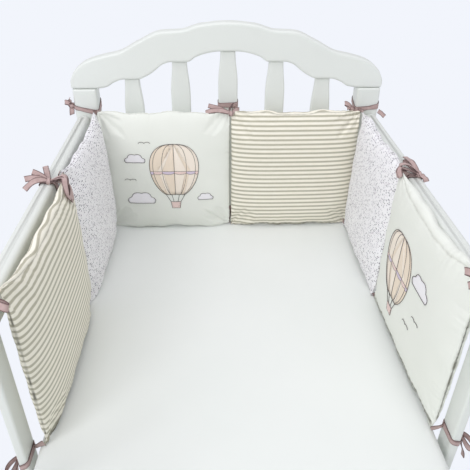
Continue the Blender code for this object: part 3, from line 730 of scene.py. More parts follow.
def keep_clear(name, panels):
    """Hold the cover off the timber behind it, off the sheet below it and off its neighbours."""
    origin, along_way, inward = PAD_WALLS[PADS[name][0]]
    low, high = corners_of(f"pad_{name}")
    out = (panels - origin) @ inward
    panels = panels + np.maximum(CLOTH_CLEARANCE - out, 0)[..., None] * inward
    spread = np.abs(along_way) * PAST_SOLID
    panels = np.maximum(panels, np.where(spread > 0, low - spread, -np.inf))
    panels = np.minimum(panels, np.where(spread > 0, high + spread, np.inf))
    panels[..., 2] = np.maximum(panels[..., 2], PAD_FOOT)
    return panels


# Colours of the painted shadow that darkens the cloth in each seam.
SEAM_SHADOW = "#66655A"
PLAIN_SEAM_SHADOW = "#98978A"
PLAIN = "#ECEEE7"
PLAIN_DEEP = "#E2E5DC"


def with_seam_shadow(tree, shader, place, tint, shadow_colour=SEAM_SHADOW):
    """Colour the cover, and darken it in the seam by a painted shadow, here more and there less."""
    depth = add_node(tree, "ShaderNodeAttribute", attribute_name="painted_seam_shadow").outputs["Fac"]
    patchy = ranged(tree, noise(tree, place, 70.0, 2.0), 0.35, 0.62, 0.25, 1.0)
    tint = mixed(tree, maths(tree, "MULTIPLY", depth, patchy), tint, shade(shadow_colour))
    feed(tree, shader, {"Base Color": tint})


def plain_cover():
    material, tree, shader, place = cotton("plain_cotton")
    with_seam_shadow(tree, shader, place, clouded(tree, place, PLAIN_DEEP, PLAIN), PLAIN_SEAM_SHADOW)
    return material


STRIPE_PITCH = 0.0106
STRIPE_WIDTH = 0.42              # of the pitch
STRIPE_SHAKE = 0.0006
STRIPE_BLUR = 0.45               # of the height of the wave that makes the lines
CREAM = "#F7F4E8"
CREAM_DEEP = "#EFEAD9"
TAUPE = "#ACA996"
TAUPE_LIGHT = "#C2BDAA"


def striped_cover():
    """Yarn-dyed stripes that run along the wall: cream, with a taupe line for each pitch of height."""
    material, tree, shader, place = cotton("striped_cotton")
    height = add_node(tree, "ShaderNodeSeparateXYZ", {"Vector": place}).outputs["Y"]
    shaky = maths(tree, "MULTIPLY_ADD", noise(tree, place, 900.0, 2.0), STRIPE_SHAKE, height)
    wave = maths(tree, "COSINE", maths(tree, "MULTIPLY", shaky, 2 * math.pi / STRIPE_PITCH))
    edge = math.cos(math.pi * STRIPE_WIDTH)
    line = ranged(tree, wave, edge - STRIPE_BLUR, edge + STRIPE_BLUR)
    light = clouded(tree, place, CREAM_DEEP, CREAM, 60.0)
    dark = clouded(tree, place, TAUPE, TAUPE_LIGHT, 240.0)
    with_seam_shadow(tree, shader, place, mixed(tree, line, light, dark))
    return material


DOT_NETS = ((0.0041, 0.0009, 0.06), (0.002542, 0.0005, 0.60))   # spacing, radius, share left bare
DOT_UNEVENNESS = 0.42
LILAC_WHITE = "#F5F4F5"
LILAC_WHITE_DEEP = "#EFEEF0"
DOT_TONES = ("#5C5A63", "#8B8492", "#74737C", "#A59BA6")


def dotted_cover():
    """White cotton printed with small scattered dots: one to a cell of an uneven net, four tones."""
    material, tree, shader, place = cotton("dotted_cotton")
    ground = clouded(tree, place, LILAC_WHITE_DEEP, LILAC_WHITE)
    for spacing, radius, bare in DOT_NETS:
        net = add_node(tree, "ShaderNodeTexVoronoi", {"Vector": place, "Scale": 1 / spacing,
                                                      "Randomness": DOT_UNEVENNESS})
        chance = add_node(tree, "ShaderNodeSeparateColor", {"Color": net.outputs["Color"]})
        tone = add_node(tree, "ShaderNodeValToRGB", {"Fac": chance.outputs["Red"]})
        tone.color_ramp.interpolation = "CONSTANT"
        for count, code in enumerate(DOT_TONES):
            stop = tone.color_ramp.elements[count] if count < 2 else tone.color_ramp.elements.new(0.5)
            stop.position = count / len(DOT_TONES)
            stop.color = shade(code)
        share = radius / spacing
        size = maths(tree, "MULTIPLY_ADD", chance.outputs["Green"], share, share * 0.8)
        inside = maths(tree, "LESS_THAN", net.outputs["Distance"], size)
        kept = maths(tree, "GREATER_THAN", chance.outputs["Blue"], bare)
        ground = mixed(tree, maths(tree, "MULTIPLY", inside, kept), ground, tone.outputs["Color"])
    with_seam_shadow(tree, shader, place, ground)
    return material


COVERS = {"plain_cotton": plain_cover(), "striped_cotton": striped_cover(),
          "dotted_cotton": dotted_cover()}
pad_faces = {}

for number, name in enumerate(PADS):
    panels = pad_panels(name, SEWN_CELLS, SLACKNESS)
    panels = panels + finer(blow_up(name, pad_panels(name, SIMULATED_CELLS, SLACKNESS)), SEWN_CELLS)
    panels, over_front, (on_front, on_back), painted_seam_shadow = puckered(panels, FIRST_SEED + number)
    panels = keep_clear(name, panels)
    points, quads, *_ = sew(panels)
    cloth_name = PADS[name][8]
    pad = make_piece(f"pad_cover_{name}", points, quads.tolist(), COVERS[cloth_name])
    lay_uv(pad, np.concatenate([on_front.reshape(-1, 2), on_back[1:-1, 1:-1].reshape(-1, 2)]))
    # The painted seam shadow goes to the cover's shader as a point attribute.
    depth = pad.data.attributes.new("painted_seam_shadow", "FLOAT", "POINT")
    depth.data.foreach_set("value", np.concatenate([painted_seam_shadow.ravel(), painted_seam_shadow[1:-1, 1:-1].ravel()]))
    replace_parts(pad, f"pad_{name}")
    pad_faces[name] = (panels[0], *over_front)


# ---- pictures ---------------------------------------------------------------------------------------
# The two plain pads carry a hot-air balloon among clouds.  Each shape is a patch of thin cotton laid on
# the cover, and its lines are back-stitched in charcoal thread.

PATCH_LIFT = 0.0005
PATCH_PUFF = 0.0004              # rise of a patch's middle over its rim
PATCH_RINGS = 7                  # from a patch's middle to its edge
STITCH = 0.0034                  # length of a back stitch
STITCH_STEP = 0.0007
THREAD_RADIUS = 0.00055
THREAD_SIDES = 6
BALLOON_HALF_WIDTH = 0.056
BALLOON_TALL = 0.132             # from the crown to the mouth
BALLOON_FULLNESS = 0.78          # lower puts the widest place nearer the crown
MOUTH = 0.95                     # share of the way down at which the envelope ends
GORE_STEPS = 40
FLAG_PLACE = 0.50                # the band of flags: share of the way down, then shares of the height
FLAG_TALL = 0.030
FLAG_HANG = 0.028
FLAG_STEPS = 14
BASKET_HALF_WIDTH = 0.0115
BASKET_TALL = 0.017
BASKET_TAPER = 0.18              # how much narrower its foot is than its rim
BASKET_DROP = 0.019              # from the mouth to the basket's rim
WING_LONG = 0.013
WING_TALL = 0.0032
THREAD_CHARCOAL = "#5B5452"
PEACH = "#EBDCC9"
PALE_PEACH = "#F2E7D9"
LILAC = "#D3C6D6"
ROSE = "#E7CFC9"
CLOUD_WHITE = "#EFEDF0"


def on_cloth(name, spots, lift):
    """Points of a pad's front over spots measured on the cloth from its middle, raised by `lift`.

    The grid is read between its lines in proportion, the points and the normals alike."""
    panel, over_u, over_v = pad_faces[name]
    normal = face_normals(panel)
    inward = PAD_WALLS[PADS[name][0]][2]
    normal *= np.sign(np.sum(normal @ inward))
    both = np.concatenate([panel, normal], -1)
    at_u = np.interp(spots[..., 0], over_u, np.arange(len(over_u)))
    at_v = np.interp(spots[..., 1], over_v, np.arange(len(over_v)))
    i = np.clip(at_u.astype(int), 0, len(over_u) - 2)
    j = np.clip(at_v.astype(int), 0, len(over_v) - 2)
    s, t = (at_u - i)[..., None], (at_v - j)[..., None]
    there = ((both[i, j] * (1 - s) + both[i + 1, j] * s) * (1 - t)
             + (both[i, j + 1] * (1 - s) + both[i + 1, j + 1] * s) * t)
    return there[..., :3] + unit(there[..., 3:]) * lift


def half_width(down):
    """The balloon's half width at a share of the way down: a circle's, with its middle moved up."""
    moved = np.clip(down, 0, 1) ** BALLOON_FULLNESS
    return BALLOON_HALF_WIDTH * np.sqrt(np.maximum(1 - (2 * moved - 1) ** 2, 0))


def gore(left, right):
    """Outline of one gore of the envelope; left and right are -1 to 1 across the balloon."""
    down = (1 - np.cos(np.linspace(0, math.pi, GORE_STEPS))) / 2 * MOUTH
    sides = [np.stack([edge * half_width(down), -BALLOON_TALL * down], -1) for edge in (left, right)]
    return np.concatenate([sides[0], sides[1][::-1]])


def ring_line(outline):
    return np.concatenate([outline, outline[:1]])


def cloud(wide, tall):
    """A cloud's outline: a flat foot, and an arch over it that swells four times."""
    turn = np.linspace(0, math.pi, 60)
    swell = 1 + 0.16 * np.abs(np.sin(turn * 4)) - 0.10 * np.cos(2 * turn)
    top = np.stack([np.cos(turn) * wide / 2 * swell, np.sin(turn) * tall * swell], -1)
    foot = np.stack([np.linspace(top[-1, 0], top[0, 0], 16)[1:-1], np.zeros(14)], -1)
    return np.concatenate([top, foot])


def basket():
    """A rim a little wider than the foot, as one outline."""
    rim = -BALLOON_TALL * MOUTH - BASKET_DROP
    foot, half_foot = rim - BASKET_TALL, 1 - BASKET_TAPER
    corners = np.array([(-1.0, rim), (1.0, rim), (half_foot, foot), (-half_foot, foot)])
    corners[:, 0] *= BASKET_HALF_WIDTH
    return np.concatenate([np.linspace(near, far, 12, endpoint=False)
                           for near, far in zip(corners, np.roll(corners, -1, 0))])


def balloon():
    """Patches (outline, colour) and thread lines of the balloon, its crown at (0, 0)."""
    patches, lines = [], []
    edges = np.sin(np.linspace(-math.pi / 2, math.pi / 2, 7))
    for count, (left, right) in enumerate(zip(edges, edges[1:])):
        patches.append((gore(left, right), (PEACH, PALE_PEACH)[count % 2]))
    for edge in edges:
        lines.append(gore(edge, edge)[:GORE_STEPS])
    for count, (left, right) in enumerate(zip(edges, edges[1:])):
        across = np.linspace(left, right, FLAG_STEPS)
        hang = FLAG_HANG * np.sin(np.linspace(0, math.pi, FLAG_STEPS)) ** 0.7
        rows = [np.stack([across * half_width(down), -BALLOON_TALL * down], -1)
                for down in (np.full(FLAG_STEPS, FLAG_PLACE), FLAG_PLACE + hang + FLAG_TALL)]
        flag = np.concatenate([rows[0], rows[1][::-1]])
        patches.append((flag, (LILAC, ROSE)[count % 2]))
        lines.append(ring_line(flag))
    mouth = -BALLOON_TALL * MOUTH
    mouth_half = half_width(MOUTH)
    lines.append(np.array([(-mouth_half, mouth), (mouth_half, mouth)]))
    for side in (-1, -0.4, 0.4, 1):
        lines.append(np.array([(side * mouth_half, mouth),
                               (side * BASKET_HALF_WIDTH, mouth - BASKET_DROP)]))
    patches.append((basket(), ROSE))
    lines.append(ring_line(basket()))
    for share in (0.35, 0.68):
        rim = mouth - BASKET_DROP - BASKET_TALL * share
        half = BASKET_HALF_WIDTH * (1 - BASKET_TAPER * share)
        lines.append(np.array([(-half, rim), (half, rim)]))
    return patches, lines


def bird():
    """Two thread lines from the bird's middle: the halves of a low arch to either side."""
    turn = np.linspace(0, math.pi, 12)
    wing = np.stack([WING_LONG * (1 - np.cos(turn)) / 2, WING_TALL * np.sin(turn)], -1)
    return [wing, wing * (-1, 1)]


def even_line(line, step):
    """The same line with a point at every step of its length, and each point's distance along it."""
    run = run_along(line)
    at = np.linspace(0, run[-1], max(int(run[-1] / step), 3))
    return np.stack([np.interp(at, run, line[:, 0]), np.interp(at, run, line[:, 1])], -1), at


def patch_shell(name, outline, lift):
    """A thin puffed patch: rings from the outline's middle out to it, then turned under its edge."""
    middle = outline.mean(0)
    share = np.append(np.linspace(0.02, 1, PATCH_RINGS), 1.0)
    puff = PATCH_PUFF * (1 - np.linspace(0, 1, PATCH_RINGS) ** 2)
    height = np.append(lift + puff, -PATCH_PUFF)
    spots = middle + (outline - middle) * share[:, None, None]
    rings = on_cloth(name, spots, height[:, None, None])
    faces = ring_quads(len(share), len(outline)).tolist() + [list(range(len(outline)))]
    return rings, faces, spots


def thread_shell(name, line):
    """Back stitches: a thread whose radius falls by half where one stitch meets the next."""
    spots, run = even_line(line, STITCH_STEP)
    middle = on_cloth(name, spots, PATCH_LIFT + THREAD_RADIUS * 0.6)
    normal = unit(on_cloth(name, spots, 0.01) - on_cloth(name, spots, 0.0))
    beside = unit(np.cross(np.gradient(middle, axis=0), normal))
    radius = THREAD_RADIUS * (0.5 + 0.5 * np.abs(np.sin(run * math.pi / STITCH)) ** 0.5)
    turn = np.linspace(0, 2 * math.pi, THREAD_SIDES, endpoint=False)
    around = np.cos(turn)[:, None] * beside[:, None] + np.sin(turn)[:, None] * normal[:, None]
    rings = middle[:, None] + around * radius[:, None, None]
    faces = capped_quads(len(run), THREAD_SIDES)
    return rings, faces, stacked(run[:, None], turn * THREAD_RADIUS)


def dyed(name, code):
    material, tree, shader, _ = cotton(name, 0.3)
    feed(tree, shader, {"Base Color": shade(code)})
    return material


def joined(name, shells, material):
    """One piece out of several shells of rings, faces and cloth measures."""
    faces = []
    first = 0
    for points, shell_faces, _ in shells:
        faces += [[first + corner for corner in face] for face in shell_faces]
        first += points.size // 3
    points = np.concatenate([points.reshape(-1, 3) for points, _, _ in shells])
    piece = make_piece(name, points, faces, material)
    lay_uv(piece, np.concatenate([measure.reshape(-1, 2) for _, _, measure in shells]))
    return piece


PATCH_CLOTHS = {code: dyed(f"patch_{label}", code) for label, code in (
    ("peach", PEACH), ("pale_peach", PALE_PEACH), ("lilac", LILAC), ("rose", ROSE),
    ("cloud_white", CLOUD_WHITE))}
THREAD = dyed("charcoal_thread", THREAD_CHARCOAL)

# pad: place of the balloon's crown, breadth, height and place of each cloud, and place of each bird,
# from the pad's middle
PICTURES = {
    "head_left": ((0.018, 0.078), ((0.064, 0.024, -0.062, -0.070), (0.046, 0.017, -0.070, 0.034),
                                   (0.036, 0.014, 0.088, -0.062)),
                  ((-0.046, 0.080), (-0.084, -0.010))),
    "right_foot": ((0.045, 0.078), ((0.060, 0.023, -0.048, 0.034),), ((-0.030, -0.046), (-0.058, -0.016))),
}

for name, (crown, clouds, birds) in PICTURES.items():
    patches, lines = balloon()
    patches = [(outline + crown, code) for outline, code in patches]
    lines = [line + crown for line in lines]
    for wide, tall, beside, rise in clouds:
        outline = cloud(wide, tall) + (beside, rise)
        patches.append((outline, CLOUD_WHITE))
        lines.append(ring_line(outline))
    for beside, rise in birds:
        lines += [wing + (beside, rise) for wing in bird()]
    pieces = [joined(f"stitching_{name}", [thread_shell(name, line) for line in lines], THREAD)]
    for code, cloth in PATCH_CLOTHS.items():
        shells = [patch_shell(name, outline, PATCH_LIFT * (1 + (code in (LILAC, ROSE))))
                  for outline, shown in patches if shown == code]
        pieces.append(joined(f"{cloth.name}_{name}", shells, cloth))
    for piece in pieces:
        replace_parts(piece, f"pad_{name}")


# ---- ties -------------------------------------------------------------------------------------------
# Mauve cotton tape, folded in along both edges, is sewn into the pads' corners in pairs.  Each pair
# goes round a post, slat or rail as two turns side by side and is knotted in a loose bow.

TAPE_WIDTH = 0.0104
TAPE_THICK = 0.0014              # at its doubled edges; the middle is a little thinner
TAPE_ACROSS = 10                 # cells across the tape
TAPE_STEPS = 30                  # along a run or a loop
TAPE_AT_KNOT = 0.55              # width where the knot grips it, of its full width
TAPE_TROUGH = 0.30               # how deep the tape folds lengthwise beside the knot
BAND_TROUGH = 0.06
LOOP_FULLNESS = 1.3              # sin(turn) * share of a loop reaches half of this
LOOP_FEET = 0.0012               # half the distance between a loop's two feet
END_WAVE = 0.0016                # how far a free end curls to and fro
BAND_LIFT = 0.0010               # from the timber to the middle of the turn round it
TURN_APART = 0.0032              # between the middles of the two turns
BAND_CORNER = 0.006
BAND_WIDTH = 0.85                # of the tape's, where it is drawn tight round the timber
LEADER_WIDTH = 0.65              # the same, half way from a pad's corner to the band
KNOT_SIZE = np.array((0.0062, 0.0056, 0.0052))      # half of its reach each way
KNOT_PLEATS = 7
KNOT_RINGS = 15
KNOT_SPOTS = 56
KNOT_WRAP = 0.0070               # breadth of the tape drawn over the knot
EDGE_SHADOW_FROM = 0.30                 # where the painted shade along the tape's edges starts, from the middle, of the breadth
TAPE_MAUVE = "#A58A86"
TAPE_MAUVE_LIGHT = "#CDB7B3"
# colour of the painted shade along the tape's edges
TAPE_EDGE_SHADOW = "#574140"

LEFT, RIGHT = np.array((-1.0, 0, 0)), np.array((1.0, 0, 0))
TO_FOOT, TO_HEAD = np.array((0, -1.0, 0)), np.array((0, 1.0, 0))
UP = np.array((0, 0, 1.0))
TO_VIEW = np.array((0, 0.54, 0.84))    # breadth that faces someone who looks down over the foot end
ASIDE = np.array((0.9, 0.3, 0.3))

# tie: timber, place along it, slant of the band each way and how far its two turns fan apart, the side
# with the knot, and the knot's shift
TIES = {
    "head_left_top": ("post_head_left", 0.779, (-0.25, 0.35, 0.05), LEFT, (0, -0.015, 0)),
    "head_right_top": ("post_head_right", 0.780, (0.16, 0.35, 0.09), LEFT, (0, -0.015, 0)),
    "head_middle_top": ("slat_head_3", 0.781, (0, 0.30, 0.04), TO_FOOT, (0.0056, -0.031, 0.004)),
    "left_middle_top": ("rail_left_top", 0.2830, (0, -0.35, 0.04), UP, (0.0055, -0.005, 0)),
    "right_middle_top": ("rail_right_top", 0.2895, (0, -0.35, 0.04), UP, (0.006, -0.002, 0)),
    "left_foot_top": ("rail_left_top", -0.0710, (0, 0.40, 0.04), UP, (-0.002, 0.001, 0)),
    "right_foot_top": ("rail_right_top", -0.0370, (0, -0.36, 0.04), UP, (0.002, 0.001, 0)),
    "head_left_bottom": ("post_head_left", 0.512, (0, 0, 0.04), LEFT, (0, 0.004, 0)),
    "head_right_bottom": ("post_head_right", 0.512, (0, 0, 0.04), RIGHT, (0, 0.004, 0)),
    "head_middle_bottom": ("slat_head_3", 0.512, (0, 0, 0.04), TO_HEAD, (0.002, 0, 0)),
    "left_middle_bottom": ("slat_left_8", 0.500, (0, 0, 0.04), LEFT, (0, 0, 0)),
    "right_middle_bottom": ("slat_right_8", 0.500, (0, 0, 0.04), RIGHT, (0, 0, 0)),
    "left_foot_bottom": ("slat_left_5", 0.468, (0.6, 0, 0.04), LEFT, (0, 0.004, 0)),
    "right_foot_bottom": ("slat_right_5", 0.492, (-0.3, 0, 0.04), RIGHT, (0, 0.004, 0)),
}
# The pad corners sewn to a tie, above and below alike: 0 is the pad's start and -1 its end.
SEWN = {
    "head_left": (("head_left", 0), ("left_head", -1)),
    "head_right": (("head_right", -1), ("right_head", -1)),
    "head_middle": (("head_left", -1), ("head_right", 0)),
    "left_middle": (("left_head", 0), ("left_foot", -1)),
    "right_middle": (("right_head", 0), ("right_foot", -1)),
    "left_foot": (("left_foot", 0),),
    "right_foot": (("right_foot", 0),),
}


def hanging_bow(out, along):
    """Two ends and one loop that hang from a knot on a timber's outer face."""
    rows = ((0.012, 0.012, -0.048, 0), (0.011, -0.014, -0.042, 0), (0.014, -0.024, -0.010, 0.010))
    return tuple((out * away + along * beside + UP * drop, 0.004, UP if opening else along, opening)
                 for away, beside, drop, opening in rows)


# What leaves each knot: reach to the tip, rise of its middle, the way the tape's breadth points, and
# the breadth of a bow loop, or 0 for a free end.
RUNS = {
    "head_left_top": (
        ((-0.002, -0.004, -0.020), 0.0, ASIDE, 0.004), ((-0.015, 0.002, 0.006), 0.002, TO_VIEW, 0.004),
        ((-0.001, -0.008, 0.018), 0.0, TO_HEAD, 0)),
    "head_right_top": (
        ((-0.017, 0.002, 0.012), 0.002, TO_VIEW, 0.003), ((-0.012, -0.004, 0.004), 0.002, TO_VIEW, 0)),
    "head_middle_top": (
        ((-0.050, 0.018, 0.012), 0.002, TO_VIEW, 0), ((-0.056, 0.008, -0.001), 0.006, TO_VIEW, 0.004),
        ((0.019, 0.018, 0.002), 0.003, TO_VIEW, 0)),
    "left_middle_top": (
        ((-0.028, 0.008, 0.014), 0.002, TO_VIEW, 0), ((-0.039, -0.004, 0.006), 0.004, TO_VIEW, 0),
        ((-0.040, -0.012, -0.010), 0.009, TO_VIEW, 0), ((-0.016, 0.044, 0.007), 0.002, RIGHT, 0)),
    "right_middle_top": (
        ((-0.002, 0.072, 0.001), 0.006, RIGHT, 0), ((-0.010, 0.046, 0.005), 0.004, RIGHT, 0.008),
        ((-0.036, 0.000, 0.018), 0.004, TO_HEAD, 0.007), ((0.010, -0.016, -0.007), 0.004, RIGHT, 0)),
    "left_foot_top": (
        ((0.045, -0.012, 0.006), 0.008, TO_VIEW, 0.008), ((-0.027, -0.024, -0.017), 0.012, TO_HEAD, 0),
        ((-0.029, 0.022, -0.018), 0.012, TO_HEAD, 0)),
    "right_foot_top": (
        ((-0.044, 0.012, 0.020), 0.003, TO_VIEW, 0.008), ((-0.043, -0.003, 0.008), 0.004, TO_VIEW, 0),
        ((0.027, -0.025, -0.016), 0.012, TO_HEAD, 0),
        ((0.028, 0.020, -0.018), 0.012, TO_HEAD, 0)),
}
for name, (_, _, _, toward, _) in TIES.items():
    if name.endswith("bottom"):
        RUNS[name] = hanging_bow(toward, RIGHT if toward is TO_HEAD else TO_HEAD)

# Tapes that lie over a pad from the knot: pad, its end, loop or not, and the stops on the way, as
# distances over the cloth from the side seam and from the top seam.
LAID = {
    "left_middle_top": (
        ("left_foot", -1, True, ((0.022, 0.0005), (0.040, 0.0005), (0.058, 0.005), (0.052, 0.016),
                                 (0.030, 0.010))),
        ("left_foot", -1, True, ((0.016, 0.002), (0.032, 0.008), (0.042, 0.019), (0.034, 0.026),
                                 (0.020, 0.013))),
        ("left_foot", -1, False, ((0.016, 0.006), (0.034, 0.015), (0.046, 0.027)))),
    "right_middle_top": (
        ("right_foot", -1, False, ((0.010, 0.001), (0.028, 0.003))),
        ("right_foot", -1, True, ((0.008, 0.003), (0.020, 0.008), (0.012, 0.010)))),
}
LAID_LIFT = 0.0042               # of the middle of a laid tape over the cloth
# A free end that shows past the timber: its start, reach, lift and the way its breadth points.
FAR_ENDS = {"head_right_top": ((0.3424, 0.600, 0.7654), (0.0121, -0.015, -0.0076), 0.001, (0.3, 0.3, 0.9))}


def tape(line, face, width, trough, closed=False):
    """A flat tape along a line of points: rings round it, quads, and each point's cloth measure.

    Its breadth lies as near to `face` as the line allows.  Across it, from -1 to 1, the half
    thickness is (0.7 + 0.3 b^2) sqrt(1 - b^8) of the edge's, and the trough lifts both edges by b^2."""
    steps = len(line)
    if closed:
        travel = unit(np.roll(line, -1, 0) - np.roll(line, 1, 0))
    else:
        travel = unit(np.gradient(line, axis=0))
    breadth = unit(face - np.sum(travel * face, -1, keepdims=True) * travel)
    depth = np.cross(travel, breadth)
    across = np.sin(np.linspace(-math.pi / 2, math.pi / 2, TAPE_ACROSS + 1))
    half_thick = TAPE_THICK / 2 * (0.7 + 0.3 * across ** 2) * np.sqrt(1 - across ** 8)
    b = np.concatenate([across, across[-2:0:-1]])
    thick = np.concatenate([half_thick, -half_thick[-2:0:-1]])
    half_width = np.broadcast_to(width, steps)[:, None] / 2
    rise = thick + np.broadcast_to(trough, steps)[:, None] * half_width * (b ** 2 - 0.4)
    rings = (line[:, None] + breadth[:, None] * (half_width * b)[..., None]
             + depth[:, None] * rise[..., None])
    run = run_along(line)
    measure = stacked(run[:, None], b * TAPE_WIDTH / 2)
    spots = len(b)
    if closed:
        faces = ring_quads(steps + 1, spots) % (steps * spots)
        return rings, faces.tolist(), measure
    return rings, capped_quads(steps, spots), measure


def turn_round(timber, place, slope, shift):
    """The middle line of one turn round the timber, slanting, `shift` along it from the place."""
    low, high = corners_of(timber)
    middle = (low + high) / 2
    half = (high - low) / 2 + BAND_LIFT
    length_way = 1 if timber.startswith("rail") else 2
    across_way = 2 if length_way == 1 else 1
    corner = min(BAND_CORNER, 0.9 * half[0], 0.9 * half[across_way])
    a, b = rounded_section(half[0], half[across_way], corner)
    line = np.empty((len(a), 3))
    line[:, 0] = middle[0] + a
    line[:, across_way] = middle[across_way] + b
    line[:, length_way] = place + shift + a * slope[0] + b * slope[1]
    return line


def knot_spot(timber, place, slope, toward, shift):
    """On the band, with the knot's own half size between its middle and the timber's face."""
    low, high = corners_of(timber)
    length_way = 1 if timber.startswith("rail") else 2
    across_way = 2 if length_way == 1 else 1
    offset = toward * ((high - low) / 2 + KNOT_SIZE) + shift
    offset[length_way] = shift[length_way] + offset[0] * slope[0] + offset[across_way] * slope[1]
    middle = (low + high) / 2
    middle[length_way] = place
    return middle + offset


def knot_shell(spot, toward, axis):
    """The core of a knot, an egg with pleats from pole to pole, and one turn of tape drawn over it."""
    turn = np.linspace(0, 2 * math.pi, KNOT_SPOTS, endpoint=False)
    lift, turn = np.meshgrid(np.linspace(-1, 1, KNOT_RINGS), turn, indexing="ij")
    round_way = np.cos(lift * math.pi / 2)
    pleat = 1 + 0.09 * np.cos(turn * KNOT_PLEATS + 3 * lift) * round_way
    pole_way = np.cross(toward, axis)
    core = (np.sin(lift * math.pi / 2)[..., None] * pole_way
            + (round_way * pleat * np.cos(turn))[..., None] * toward
            + (round_way * pleat * np.sin(turn))[..., None] * axis)
    core = spot + core * KNOT_SIZE * 0.95
    faces = capped_quads(KNOT_RINGS, KNOT_SPOTS)
    sweep = np.linspace(0, 2 * math.pi, 40, endpoint=False)
    ring = spot + (np.cos(sweep)[:, None] * toward + np.sin(sweep)[:, None] * axis) * KNOT_SIZE * 1.02
    ring += pole_way * 0.0008 * np.sin(2 * sweep)[:, None]
    wrap = tape(ring, pole_way, KNOT_WRAP + 0.0012 * np.sin(3 * sweep), 0.10, closed=True)
    return [(core, faces, np.zeros(core.shape[:-1] + (2,))), wrap]


def run_line(spot, reach, lift, face, opening):
    """The middle line of what leaves a knot: an arc to a free end, or a bow loop out and back."""
    s = np.linspace(0, 1, TAPE_STEPS)
    open_way = unit(np.cross(reach, face))
    if opening:
        turn = 2 * math.pi * s
        s = (1 - np.cos(turn)) / 2
        side = np.sin(turn) * s * opening / LOOP_FULLNESS + LOOP_FEET * np.cos(turn / 2)
    else:
        side = END_WAVE * np.sin(3 * math.pi * s) * s
    return (spot + reach * s[:, None] + open_way * side[:, None]
            + UP * (lift * 4 * s * (1 - s))[:, None])


def run_shape(opening):
    """Width and trough along a run: drawn narrow and folded at the knot, open and flat beyond it."""
    s = np.linspace(0, 1, TAPE_STEPS)
    away = 2 * np.minimum(s, 1 - s) if opening else s
    free = np.clip(away / 0.45, 0, 1)
    free = free * free * (3 - 2 * free)
    return TAPE_WIDTH * (TAPE_AT_KNOT + (1 - TAPE_AT_KNOT) * free), TAPE_TROUGH * (1 - 0.75 * free)


def leader(pad_corner, band, face):
    """A tape from a pad's corner to the nearest point of the band, where it runs on along it."""
    nearest = int(np.argmin(np.linalg.norm(band - pad_corner, axis=1)))
    ahead = band[(nearest + 3) % len(band)] - band[nearest]
    if ahead @ (band[nearest] - pad_corner) < 0:
        ahead = band[nearest - 3] - band[nearest]
    gap = np.linalg.norm(band[nearest] - pad_corner)
    handles = np.stack([pad_corner, pad_corner + (band[nearest] - pad_corner) * 0.4,
                        band[nearest] - unit(ahead) * gap * 0.4, band[nearest] + unit(ahead) * 0.004])
    s = np.linspace(0, 1, TAPE_STEPS)[:, None]
    weights = ((1 - s) ** 3, 3 * s * (1 - s) ** 2, 3 * s * s * (1 - s), s ** 3)
    line = sum(weight * handle for weight, handle in zip(weights, handles))
    width = TAPE_WIDTH * (LEADER_WIDTH + (1 - LEADER_WIDTH) * np.abs(2 * s[:, 0] - 1))
    return tape(line, face, width, 0.15)


def laid_tape(spot, name, end, loop, stops):
    """A tape from the knot over a pad's cloth, and back to the knot if it is a loop."""
    _, over_u, over_v = pad_faces[name]
    from_side, from_top = np.array(stops).T
    spots = np.stack([(over_u[-1] - from_side) * (1 if end else -1), over_v[-1] - from_top], -1)
    points = on_cloth(name, spots, LAID_LIFT)
    outward = unit(points - on_cloth(name, spots, 0.0))
    points = np.concatenate([[spot], points] + [[spot]] * loop)
    outward = np.concatenate([[UP], outward] + [[UP]] * loop)
    line = finer(points, TAPE_STEPS - 1, (0,))
    face = np.cross(np.gradient(line, axis=0), finer(outward, TAPE_STEPS - 1, (0,)))
    return tape(line, face, *run_shape(loop))


def ribbon_material():
    """Mauve tape, a little lighter in clouds, and darker along both its edges by a painted shade."""
    material, tree, shader, place = cotton("ribbon", 0.35)
    middle = clouded(tree, place, TAPE_MAUVE, TAPE_MAUVE_LIGHT, 120.0)
    across = add_node(tree, "ShaderNodeSeparateXYZ", {"Vector": place}).outputs["Y"]
    # edge: how far into the painted shade along the tape's edges
    edge = ranged(tree, maths(tree, "ABSOLUTE", across), TAPE_WIDTH * EDGE_SHADOW_FROM, TAPE_WIDTH / 2)
    feed(tree, shader, {"Base Color": mixed(tree, edge, middle, shade(TAPE_EDGE_SHADOW))})
    return material


RIBBON = ribbon_material()

for name, (timber, place, slope, toward, shift) in TIES.items():
    junction, level = name.rsplit("_", 1)
    on_rail = timber.startswith("rail")
    axis = TO_HEAD if on_rail else UP
    spot = knot_spot(timber, place, slope, toward, np.array(shift, float))
    shells = knot_shell(spot, toward, axis)
    for side, lift in ((-1, 1), (1, -1)):
        band = turn_round(timber, place, np.array(slope[:2]) + side * slope[2], side * TURN_APART / 2)
        shells.append(tape(band, axis, TAPE_WIDTH * BAND_WIDTH, BAND_TROUGH * lift, closed=True))
    for reach, lift, face, opening in RUNS[name]:
        line = run_line(spot, np.array(reach), lift, face, opening)
        shells.append(tape(line, face, *run_shape(opening)))
    for row in LAID.get(name, ()):
        shells.append(laid_tape(spot, *row))
    if name in FAR_ENDS:
        start, reach, lift, face = (np.array(part) for part in FAR_ENDS[name])
        shells.append(tape(run_line(start, reach, lift, face, 0), face, TAPE_WIDTH * 0.9, 0.1))
    for pad_name, end in SEWN[junction]:
        pad_corner = pad_faces[pad_name][0][end, -1 if level == "top" else 0]
        shells.append(leader(pad_corner, band, axis))
    tied = joined(f"ribbon_{name}", shells, RIBBON)
    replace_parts(tied, f"tie_{name}")


# ---- floor, light and camera ------------------------------------------------------------------------
# An even pale backdrop, a soft white sky, a wide lamp over the foot end's left and one overhead.  The
# camera stands over the foot end, a little left of the middle, and looks down at the head end.

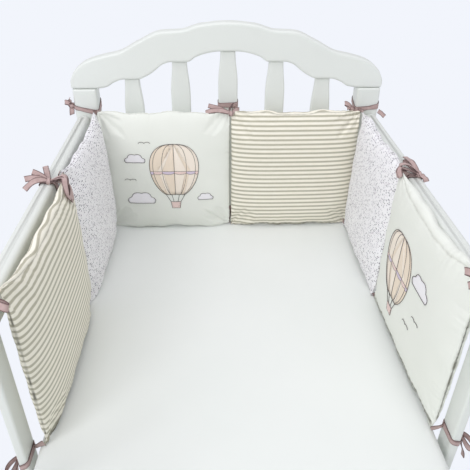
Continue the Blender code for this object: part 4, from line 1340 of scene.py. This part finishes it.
BACKGROUND = "#F2F5FC"
FLOOR_REACH = 9.0
SKY_WHITE = (0.992, 0.992, 1.035, 1.0)
SKY_STRENGTH = 0.68
LAMPS = {                        # watts, place and what it points at
    "window": (22.0, (-1.15, -1.45, 1.95), (0.1, 0.25, 0.55)),
    "ceiling": (10.0, (0.0, 0.05, 2.6), (0.0, 0.25, 0.5)),
}
LAMP_SIZE = 1.2
CAMERA_PLACE = (-0.0356, -0.5649, 1.1892)
CAMERA_YAW = math.radians(2.647)       # towards +X
CAMERA_PITCH = math.radians(32.918)    # down from level
CAMERA_ROLL = math.radians(0.538)
FOCAL_PIXELS = 535.2
PICTURE_PIXELS = 470
SENSOR = 36.0

floor_mesh = bpy.data.meshes.new("floor")
floor_corners = [(x * FLOOR_REACH, y * FLOOR_REACH, 0) for x, y in ((-1, -1), (1, -1), (1, 1), (-1, 1))]
floor_mesh.from_pydata(floor_corners, [], [(0, 1, 2, 3)])
floor = put("floor", floor_mesh)
floor_paint, floor_tree, floor_shader = new_material("lit_backdrop")
feed(floor_tree, floor_shader, {"Base Color": (0, 0, 0, 1), "Specular IOR Level": 0.0,
                                "Emission Color": shade(BACKGROUND), "Emission Strength": 1.0})
floor_mesh.materials.append(floor_paint)

bpy.context.scene.view_settings.view_transform = "Standard"

sky = bpy.data.worlds.new("soft_sky")
sky.use_nodes = True
feed(sky.node_tree, sky.node_tree.nodes["Background"], {"Color": SKY_WHITE, "Strength": SKY_STRENGTH})
bpy.context.scene.world = sky

for name, (watts, place, aim) in LAMPS.items():
    lamp_data = bpy.data.lights.new(name, "AREA")
    lamp_data.shape = "SQUARE"
    lamp_data.size = LAMP_SIZE
    lamp_data.energy = watts
    lamp_data.color = SKY_WHITE[:3]
    lamp = put(name, lamp_data)
    lamp.location = place
    lamp.rotation_euler = (Vector(aim) - lamp.location).to_track_quat("-Z", "Y").to_euler()

camera_data = bpy.data.cameras.new("camera")
camera_data.sensor_fit = "HORIZONTAL"
camera_data.sensor_width = SENSOR
camera_data.lens = SENSOR * FOCAL_PIXELS / PICTURE_PIXELS
camera = put("camera", camera_data)
aim = Euler((math.pi / 2 - CAMERA_PITCH, 0, -CAMERA_YAW), "XYZ").to_matrix().to_4x4()
camera.matrix_world = Matrix.Translation(CAMERA_PLACE) @ aim @ Matrix.Rotation(CAMERA_ROLL, 4, "Z")
bpy.context.scene.camera = camera
